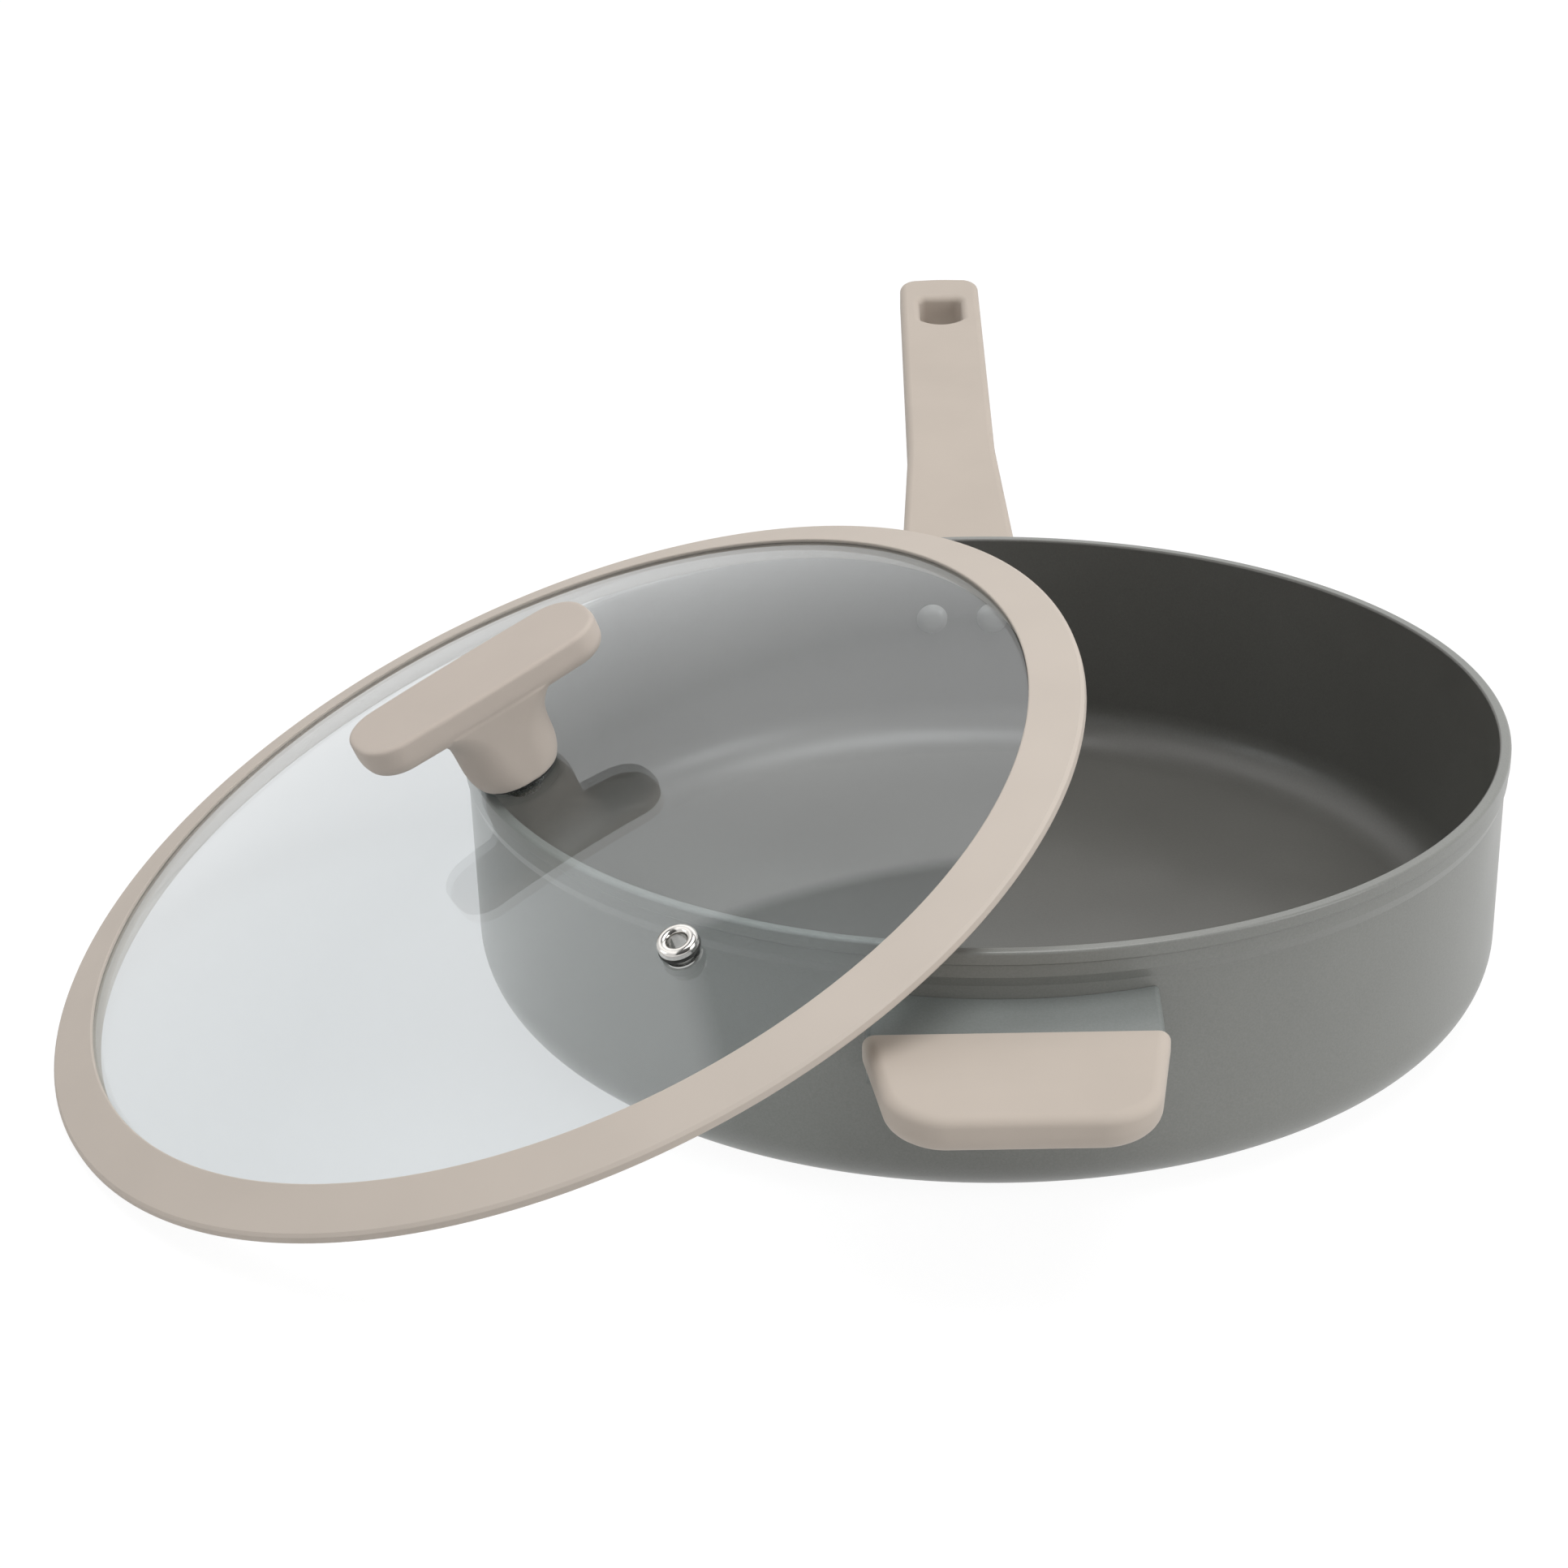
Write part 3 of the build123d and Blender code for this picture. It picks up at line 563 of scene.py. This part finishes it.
def slab(points, depth, top_round, under_round, taper=0.0, plain=None):
    """A block with rounded edges, save those where plain(place) is true."""
    bm = block(points, depth, taper)
    high = [face for face in bm.faces if face.normal.z > 0.9][0]
    under = [face for face in bm.faces if face.normal.z < -0.9][0]
    for face, width, segments in ((high, top_round, 6), (under, under_round, 8)):
        edges = [
            edge
            for edge in face.edges
            if not (plain and all(plain(vert.co) for vert in edge.verts))
        ]
        rounded(bm, edges, width, segments)
    return bm


def draft(bm):
    """A bmesh as an object to work on."""
    mesh = bpy.data.meshes.new("draft")
    bm.to_mesh(mesh)
    bm.free()
    made = bpy.data.objects.new("draft", mesh)
    bpy.context.scene.collection.objects.link(made)
    return made


def worked(piece, *others):
    """The bmesh of a draft after its modifiers; the drafts are thrown away."""
    bpy.context.view_layer.update()
    ready = piece.evaluated_get(bpy.context.evaluated_depsgraph_get())
    made = bmesh.new()
    made.from_mesh(ready.to_mesh())
    ready.to_mesh_clear()
    for used in (piece, *others):
        mesh = used.data
        bpy.data.objects.remove(used)
        bpy.data.meshes.remove(mesh)
    return made


def cut(bm, tool):
    """The bmesh less the solid of a tool."""
    piece, knife = draft(bm), draft(tool)
    take = piece.modifiers.new("take", "BOOLEAN")
    take.operation = "DIFFERENCE"
    take.solver = "EXACT"
    take.object = knife
    return worked(piece, knife)


def drill(x, y, top, radius, depth):
    """A cylinder that stands under a height, to cut a round recess from below."""
    bm = bmesh.new()
    bmesh.ops.create_cone(
        bm,
        cap_ends=True,
        segments=64,
        radius1=radius,
        radius2=radius,
        depth=depth,
        matrix=Matrix.Translation((x, y, top - depth / 2)),
    )
    return bm


def with_hole(bm, points, flare):
    """A slab less a post of an outline, the upper edge of the hole rounded by a flare."""
    above, below = 5, 35
    post = block(points, above + below)
    bmesh.ops.translate(post, vec=(0, 0, above), verts=post.verts)
    bm = cut(bm, post)
    near, far = min(x for x, _, _ in points), max(x for x, _, _ in points)
    # The edge to round is the only one there that turns by more than this, in radians
    square = 1.2
    lip = [
        edge
        for edge in bm.edges
        if edge.is_manifold
        and edge.calc_face_angle() > square
        and all(abs(vert.co.z) < NEAR and near < vert.co.x < far + NEAR for vert in edge.verts)
    ]
    rounded(bm, lip, flare, 8)
    return bm


def from_cad(node, name, body, material):
    """A merged and smoothly shaded copy of a CAD node."""
    bm = bmesh.new()
    bm.from_mesh(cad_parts[node].data)
    bmesh.ops.transform(bm, matrix=Matrix.Scale(1 / MM, 4), verts=bm.verts)
    return finish(bm, name, body, [node], material)


def axes(x, y, z, origin):
    """A matrix from three axes and an origin."""
    made = Matrix((x, y, z)).transposed().to_4x4()
    made.translation = origin
    return made


# ---------------------------------------------------------------- pan

# From the middle of the underside round the rim to the middle of the floor
pan_section = [
    (0, PLATE_THICKNESS, 0),
    (PLATE_RADIUS + 0.05, PLATE_THICKNESS, 0.15),
    (PLATE_RADIUS + 0.05, 0, 0.3),
    (WALL_TOP - 0.4, 0, 17),
    (WALL_TOP, 62.4, 0.5),
    (STEP_TOP, 65.0, 0.5),
    (STEP_TOP, 68.25, 0.1),
    (PAN_RIM, 68.6, 0.15),
    (PAN_RIM, PAN_HEIGHT, 0.8),
    (PAN_BORE, PAN_HEIGHT, 0.8),
    (PAN_BORE - 1, PAN_FLOOR, 14),
    (0, PAN_FLOOR, 0),
]
pan_shell = turned(pan_section, closed=False, steps=288)
finish(pan_shell, "pan_shell", "pan", ["pan_body"], COATING, sharp=50)

plate_section = [
    (0, 0, 0),
    (PLATE_RADIUS, 0, 0.25),
    (PLATE_RADIUS, 1.0, 0.25),
    (PLATE_RADIUS - 0.3, PLATE_THICKNESS, 0),
    (0, PLATE_THICKNESS, 0),
]
base_plate = turned(plate_section, closed=False)
finish(base_plate, "base_plate", "pan", ["induction_plate"], PLATE)


def rivets(side):
    """Two domed rivets through the wall: the heads inside, the set tails outside.

    The heights of the section are distances from the pan's axis.
    """
    both = bmesh.new()
    for turn in (RIVET_AZIMUTH, -RIVET_AZIMUTH):
        section = [
            (0, 137.18, 0),
            (3.1, 137.6, 3),
            (RIVET_HEAD, 139.2, 0.35),
            (RIVET_HEAD, 139.48, 0),
            (RIVET_SHANK, 139.6, 0),
            (RIVET_SHANK, 145.1, 0),
            (RIVET_TAIL, 145.15, 0),
            (RIVET_TAIL, 146.2, 0.8),
            (RIVET_SHANK, 146.95, 0.6),
            (0, 146.95, 0),
        ]
        rivet = turned(section, closed=False, steps=40)
        out = Vector((0, side, 0))
        out.rotate(Matrix.Rotation(radians(turn), 3, "Z"))
        across = Vector((0, 0, 1)).cross(out)
        place = axes(across, out.cross(across), out, (0, 0, RIVET_LEVEL))
        bmesh.ops.transform(rivet, matrix=place, verts=rivet.verts)
        joined(both, rivet)
    return both


finish(rivets(1), "long_rivets", "pan", ["long_handle_rivets"], RIVET_COATING_PAINTED_HIGHLIGHT)
finish(rivets(-1), "helper_rivets", "pan", ["helper_handle_rivets"], RIVET_COATING_PAINTED_HIGHLIGHT)

from_cad("long_handle_bracket", "long_bracket", "pan", SHELF_COATING_PAINTED_REFLECTION)
from_cad("helper_handle_bracket", "helper_bracket", "pan", SHELF_COATING_PAINTED_REFLECTION)

# ---------------------------------------------------------------- grips

# Long grip: x runs out along the grip from its root
grip_outline = [
    (GRIP_LENGTH - 0.9, 14.1, 6),
    (61.5, 14.6, 90),
    (0, 18.2, 0),
    (0, -18.2, 0),
    (61.5, -14.6, 90),
    (GRIP_LENGTH - 0.9, -14.1, 6),
    (GRIP_LENGTH, 0, 40),
]
hole_outline = [
    (166, 7.5, 2.5),
    (150.9, 7.5, 0),
    (142.33, 0, 9.95),
    (150.9, -7.5, 0),
    (166, -7.5, 2.5),
]
rise = radians(GRIP_RISE)
along = Vector((0, cos(rise), sin(rise)))
upward = Vector((0, -sin(rise), cos(rise)))
grip_place = axes(along, upward.cross(along), upward, GRIP_ROOT)
long_grip = slab(
    grip_outline, GRIP_DEPTH, 2.4, 5.5, taper=GRIP_THINNING, plain=lambda at: at.x < NEAR
)
long_grip = with_hole(long_grip, hole_outline, 2.4)
# A recess under the grip for the screw's head
long_grip = cut(long_grip, drill(24.0, 0, -17.6, RECESS_RADIUS, 10))
finish(
    long_grip, "long_grip", "pan", ["long_handle_grip"], GRIP_SKIN, grip_place
)

# Helper grip: a tongue that gets narrower to the front
tongue_outline = [
    (36.7, TONGUE_ROOT, 0),
    (-36.7, TONGUE_ROOT, 0),
    (-30.5, TONGUE_FRONT, 15),
    (30.5, TONGUE_FRONT, 15),
]
tongue = slab(
    tongue_outline, TONGUE_THICKNESS, 3.0, 6.4, plain=lambda at: at.y > TONGUE_ROOT - NEAR
)
root = [
    edge for edge in tongue.edges if all(vert.co.y > TONGUE_ROOT - NEAR for vert in edge.verts)
]
rounded(tongue, root, 0.7, 4)
# The top falls to the front from a crease that is softened over 0.5 mm to each side
soft = 0.5
for y in (TONGUE_CREASE + 1, TONGUE_CREASE, TONGUE_CREASE - 1):
    bmesh.ops.bisect_plane(
        tongue,
        geom=tongue.verts[:] + tongue.edges[:] + tongue.faces[:],
        plane_co=(0, y, 0),
        plane_no=(0, 1, 0),
    )
for vert in tongue.verts:
    past = TONGUE_CREASE - vert.co.y
    if past < -soft:
        past = 0
    elif past <= soft:
        past = (past + soft) / 4
    fall = TONGUE_FALL / (TONGUE_CREASE - TONGUE_FRONT) * past
    vert.co.z -= fall * (1 + vert.co.z / TONGUE_THICKNESS)
# Recesses for the two screws' heads
for x in (-17, 17):
    tongue = cut(tongue, drill(x, -165.4, -9.1, RECESS_RADIUS, 8))
finish(
    tongue,
    "helper_grip",
    "pan",
    ["helper_handle_grip"],
    GRIP_SKIN,
    Matrix.Translation((0, 0, TONGUE_LEVEL)),
)

from_cad("long_handle_screw", "long_grip_screw", "pan", STEEL)
from_cad("helper_handle_screws", "helper_grip_screws", "pan", STEEL)

# ---------------------------------------------------------------- lid

lean = radians(LID_LEAN)
azimuth = radians(LID_AZIMUTH)
out = Vector((cos(azimuth), sin(azimuth), 0))
lid_up = Vector((0, 0, 1)) * cos(lean) + out * sin(lean)
lid_down = out * cos(lean) - Vector((0, 0, 1)) * sin(lean)
lid_across = lid_up.cross(lid_down)
lid_place = axes(lid_down, lid_across, lid_up, LID_CENTRE)


def dome(radius, thickness):
    """Height of the glass at a radius: its underside for thickness 0, its top for the full one."""
    return DOME_HEIGHT - DOME_RADIUS + sqrt((DOME_RADIUS + thickness) ** 2 - radius**2)


steps = 28
steps_out = [GLASS_HOLE + (GLASS_EDGE - GLASS_HOLE) * i / steps for i in range(steps + 1)]
glass_section = [(r, dome(r, 0.0), 0) for r in steps_out]
glass_section += [(r, dome(r, GLASS_THICKNESS), 0) for r in reversed(steps_out)]
dome_glass = turned(glass_section, steps=256)
finish(dome_glass, "dome_glass", "lid", ["lid_glass"], GLASS, lid_place)

# The ring's groove stands off the glass by a hair, so that the two skins don't flicker
HAIR = 0.05
ring_section = [
    (RING_BORE, 7.17, 0.45),
    (147.2, 2.9, 0.3),
    (RING_EDGE, 2.1, 0.3),
    (RING_EDGE, 0, 0.7),
    (139.4, 0, 0.2),
    (139.4, -2.8, 0.8),
    (RING_BORE, -2.8, 0.8),
    (RING_BORE, dome(RING_BORE, 0) - HAIR, 0),
    (RING_SEAT, dome(RING_SEAT, 0) - HAIR, 0),
    (RING_SEAT, dome(RING_SEAT, GLASS_THICKNESS) + HAIR, 0),
    (RING_BORE, dome(RING_BORE, GLASS_THICKNESS) + HAIR, 0),
]
rim_ring = turned(ring_section, steps=256)
finish(rim_ring, "rim_ring", "lid", ["lid_ring"], SILICONE, lid_place)

# Knob: a bar on a flared stem, joined into one skin
knob_turn = Matrix.Rotation(radians(KNOB_TURN), 4, "Z")
knob_foot = lid_place @ knob_turn @ Matrix.Translation((0, 0, KNOB_LEVEL))


def through(shares, values, share):
    """The cubic through four values."""
    total = 0.0
    for i, value in enumerate(values):
        weight = value
        for j, other in enumerate(shares):
            if j != i:
                weight *= (share - other) / (shares[i] - other)
        total += weight
    return total


def knob():
    """The bar and the flared stem as closed shells that a remesh joins."""
    bar_outline = [
        (34.7, 12.5, 10),
        (0, 14, 500),
        (-34.7, 12.5, 10),
        (-35.7, 0, 20),
        (-34.7, -12.5, 10),
        (0, -14, 500),
        (34.7, -12.5, 10),
        (35.7, 0, 20),
    ]
    bar = slab(bar_outline, BAR_THICKNESS, 1.1, 4.2)
    bmesh.ops.translate(bar, vec=(0, 0, STEM_HEIGHT + BAR_THICKNESS), verts=bar.verts)
    # The stem's sizes at shares of its height, the last of them inside the bar
    shares = (0.0, 0.5, 0.84, 1.1)
    lengths = (22.6, 26.2, 29.2, 40.0)
    widths = (22.2, 23.0, 24.6, 26.4)
    corners = (11.0, 9.8, 8.6, 8.0)
    steps = 12
    levels = []
    stem = bmesh.new()
    for i in range(steps + 1):
        share = shares[-1] * i / steps
        x = through(shares, lengths, share) / 2
        y = through(shares, widths, share) / 2
        r = through(shares, corners, share)
        before = set(stem.verts)
        outline(stem, [(x, y, r), (-x, y, r), (-x, -y, r), (x, -y, r)])
        level = [vert for vert in stem.verts if vert not in before]
        bmesh.ops.translate(stem, vec=(0, 0, STEM_HEIGHT * share), verts=level)
        levels.append([edge for edge in stem.edges if edge.verts[0] in level])
    for low, high in zip(levels, levels[1:]):
        bmesh.ops.bridge_loops(stem, edges=low + high)
    bmesh.ops.holes_fill(stem, edges=stem.edges, sides=0)
    bmesh.ops.recalc_face_normals(stem, faces=stem.faces)
    joined(bar, stem)
    return bar


def remeshed(bm, voxel, smooth):
    """The bmesh as one closed skin: voxel remesh, then a light smoothing."""
    piece = draft(bm)
    remesh = piece.modifiers.new("one_skin", "REMESH")
    remesh.mode = "VOXEL"
    remesh.voxel_size = voxel
    relax = piece.modifiers.new("relax", "SMOOTH")
    relax.factor = 0.5
    relax.iterations = smooth
    return worked(piece)


knob_skin = remeshed(knob(), voxel=0.36, smooth=4)
finish(knob_skin, "knob", "lid", ["lid_knob"], KNOB_SKIN, knob_foot, sharp=180)

from_cad("knob_gasket", "knob_base_gasket", "lid", RUBBER)
from_cad("knob_under_seal", "knob_lower_seal", "lid", RUBBER)
from_cad("knob_insert", "knob_brass_insert", "lid", BRASS)
from_cad("knob_washer", "knob_steel_washer", "lid", STEEL)
from_cad("knob_screw", "knob_fixing_screw", "lid", STEEL)

# Steam vent: its axis stands square on the dome
vent_reach = DOME_RADIUS + GLASS_THICKNESS
vent_out = Matrix.Rotation(radians(VENT_TURN), 3, lid_up) @ lid_down
vent_sine = VENT_DISTANCE / vent_reach
vent_up = lid_up * sqrt(1 - vent_sine**2) + vent_out * vent_sine
vent_cross = lid_up.cross(vent_out)
vent_foot = LID_CENTRE - lid_up * (DOME_RADIUS - DOME_HEIGHT) + vent_up * vent_reach
vent_place = axes(vent_cross, vent_up.cross(vent_cross), vent_up, vent_foot)

eyelet_section = [
    (2.5, -4.75, 0.2),
    (4.4, -4.75, 0.4),
    (4.4, -3.95, 0),
    (3.3, -3.95, 0),
    (3.3, 0.9, 0),
    (5.25, 0.9, 0.35),
    (5.25, 3.3, 1.2),
    (2.5, 3.3, 1.2),
]
vent_ferrule = turned(eyelet_section, steps=64)
finish(vent_ferrule, "vent_ferrule", "lid", ["vent_eyelet"], CHROME, vent_place)

washer_section = [(3.35, 0.02, 0), (5.4, 0.02, 0.3), (5.4, 0.88, 0.3), (3.35, 0.88, 0)]
vent_washer = turned(washer_section, steps=64)
finish(vent_washer, "vent_washer", "lid", ["vent_seal"], RUBBER, vent_place)

# ---------------------------------------------------------------- floor, light and camera

# What the world gives a dull surface, and how the floor looks to the eye and through the lid,
# dimmed there as a painted shadow of the lid
ROOM_LIGHT = 0.43
FLOOR_WHITE = 0.94
# The floor's glow as seen through glass: a painted shadow of the lid on the floor
FLOOR_PAINTED_LID_SHADOW = 0.68
FLOOR_SHADE = (0.1, 0.1, 0.1, 1)
FLOOR_RADIUS = 8.0
# The floor lies a hair under the base, so that the two don't flicker
FLOOR_DROP = 0.0004
WHITE = (1, 1, 1, 1)


def stage_floor():
    """A pale floor: white to the camera and in gloss, dimmed through glass as a painted lid
    shadow, faintly shadowed.
    """
    bm = bmesh.new()
    bmesh.ops.create_circle(bm, cap_ends=True, radius=FLOOR_RADIUS, segments=96)
    mesh = bpy.data.meshes.new("floor")
    bm.to_mesh(mesh)
    bm.free()
    floor = bpy.data.objects.new("floor", mesh)
    floor.location.z = -FLOOR_DROP
    bpy.context.scene.collection.objects.link(floor)
    material, tree = blank("matt_paper_floor")
    ray = add(tree, "ShaderNodeLightPath").outputs
    seen = add(
        tree,
        "ShaderNodeMath",
        {0: ray["Is Camera Ray"], 1: ray["Is Glossy Ray"]},
        operation="MAXIMUM",
    )
    seen = add(
        tree,
        "ShaderNodeMath",
        {0: seen.outputs[0], 1: ray["Is Transmission Ray"]},
        operation="MAXIMUM",
    )
    paper = add(tree, "ShaderNodeBsdfDiffuse", {"Color": linear("#d8d8d8")})
    shade = add(tree, "ShaderNodeBsdfDiffuse", {"Color": FLOOR_SHADE})
    # Through glass the floor's glow drops, a painted shadow of the lid
    level = add(
        tree,
        "ShaderNodeMapRange",
        {"Value": ray["Is Transmission Ray"], "To Min": FLOOR_WHITE, "To Max": FLOOR_PAINTED_LID_SHADOW},
    )
    glow = add(tree, "ShaderNodeEmission", {"Color": WHITE, "Strength": level.outputs[0]})
    white = add(tree, "ShaderNodeAddShader", {0: shade.outputs[0], 1: glow.outputs[0]})
    both = add(
        tree,
        "ShaderNodeMixShader",
        {0: seen.outputs[0], 1: paper.outputs[0], 2: white.outputs[0]},
    )
    add(tree, "ShaderNodeOutputMaterial", {0: both.outputs[0]})
    mesh.materials.append(material)


def room():
    """The world: white to the camera and through glass, a studio in gloss, plain for light."""
    world = bpy.data.worlds.new("room")
    bpy.context.scene.world = world
    world.use_nodes = True
    tree = world.node_tree
    tree.nodes.clear()
    ray = add(tree, "ShaderNodeLightPath").outputs
    seen = add(
        tree,
        "ShaderNodeMath",
        {0: ray["Is Camera Ray"], 1: ray["Is Transmission Ray"]},
        operation="MAXIMUM",
    )
    aim = add(
        tree,
        "ShaderNodeSeparateXYZ",
        {0: add(tree, "ShaderNodeTexCoord").outputs["Generated"]},
    )
    # In gloss: a white wall at the back that ends overhead in a clean edge, a white wall at the
    # left, and dark elsewhere
    slope = add(
        tree,
        "ShaderNodeMath",
        {0: aim.outputs[2], 1: -0.53, 2: aim.outputs[1]},
        operation="MULTIPLY_ADD",
    )
    back = add(
        tree,
        "ShaderNodeMapRange",
        {
            "Value": slope.outputs[0],
            "From Min": -0.01,
            "From Max": 0.02,
            "To Min": 0.08,
            "To Max": 1.0,
        },
    )
    left = add(
        tree,
        "ShaderNodeMapRange",
        {
            "Value": aim.outputs[0],
            "From Min": -0.40,
            "From Max": -0.36,
            "To Min": 1.0,
            "To Max": 0.0,
        },
    )
    walls = add(
        tree, "ShaderNodeMath", {0: back.outputs[0], 1: left.outputs[0]}, operation="MAXIMUM"
    )
    # A brighter panel high on the walls, weaker at the left
    high = add(
        tree,
        "ShaderNodeMapRange",
        {
            "Value": aim.outputs[2],
            "From Min": 0.5,
            "From Max": 0.7,
            "To Min": 0.0,
            "To Max": 1.0,
        },
    )
    wide = add(
        tree,
        "ShaderNodeMapRange",
        {
            "Value": aim.outputs[0],
            "From Min": -0.7,
            "From Max": -0.25,
            "To Min": 0.5,
            "To Max": 1.0,
        },
    )
    panel = add(
        tree, "ShaderNodeMath", {0: high.outputs[0], 1: wide.outputs[0]}, operation="MULTIPLY"
    )
    studio = add(
        tree,
        "ShaderNodeMath",
        {0: panel.outputs[0], 1: walls.outputs[0], 2: walls.outputs[0]},
        operation="MULTIPLY_ADD",
    )
    level = add(
        tree,
        "ShaderNodeMix",
        {0: ray["Is Glossy Ray"], 2: ROOM_LIGHT, 3: studio.outputs[0]},
        data_type="FLOAT",
    )
    level = add(
        tree,
        "ShaderNodeMix",
        {0: seen.outputs[0], 2: level.outputs[0], 3: 1.0},
        data_type="FLOAT",
    )
    glow = add(tree, "ShaderNodeBackground", {"Color": WHITE, "Strength": level.outputs[0]})
    add(tree, "ShaderNodeOutputWorld", {0: glow.outputs[0]})


def softbox(name, place, aim, size, watts):
    """A square area lamp that looks at a point."""
    data = bpy.data.lights.new(name, "AREA")
    data.shape = "SQUARE"
    data.size = size
    data.energy = watts
    lamp = bpy.data.objects.new(name, data)
    lamp.location = place
    lamp.rotation_euler = (Vector(aim) - Vector(place)).to_track_quat("-Z", "Y").to_euler()
    bpy.context.scene.collection.objects.link(lamp)


stage_floor()
room()
softbox("overhead", place=(0.4, -0.12, 2.45), aim=(0, 0, 0), size=1.6, watts=37.0)
softbox("right_side", place=(3.2, -1.4, 1.4), aim=(0, 0, 0.05), size=2.0, watts=48.0)
softbox("left_side", place=(-3.0, -0.5, 1.1), aim=(0, 0, 0.05), size=1.4, watts=12.0)

# The camera's right, up and back, then its place
camera_data = bpy.data.cameras.new("camera")
camera_data.sensor_width = 36.0
camera_data.lens = 77.52
camera = bpy.data.objects.new("camera", camera_data)
camera.matrix_world = axes(
    (0.99975972, 0.00447565, -0.02145865),
    (0.01768901, 0.41343393, 0.91036228),
    (0.01294619, -0.91052312, 0.41325542),
    (-0.043619, -0.859459, 0.442249),
)
bpy.context.scene.collection.objects.link(camera)
bpy.context.scene.camera = camera
bpy.context.scene.view_settings.view_transform = "Standard"
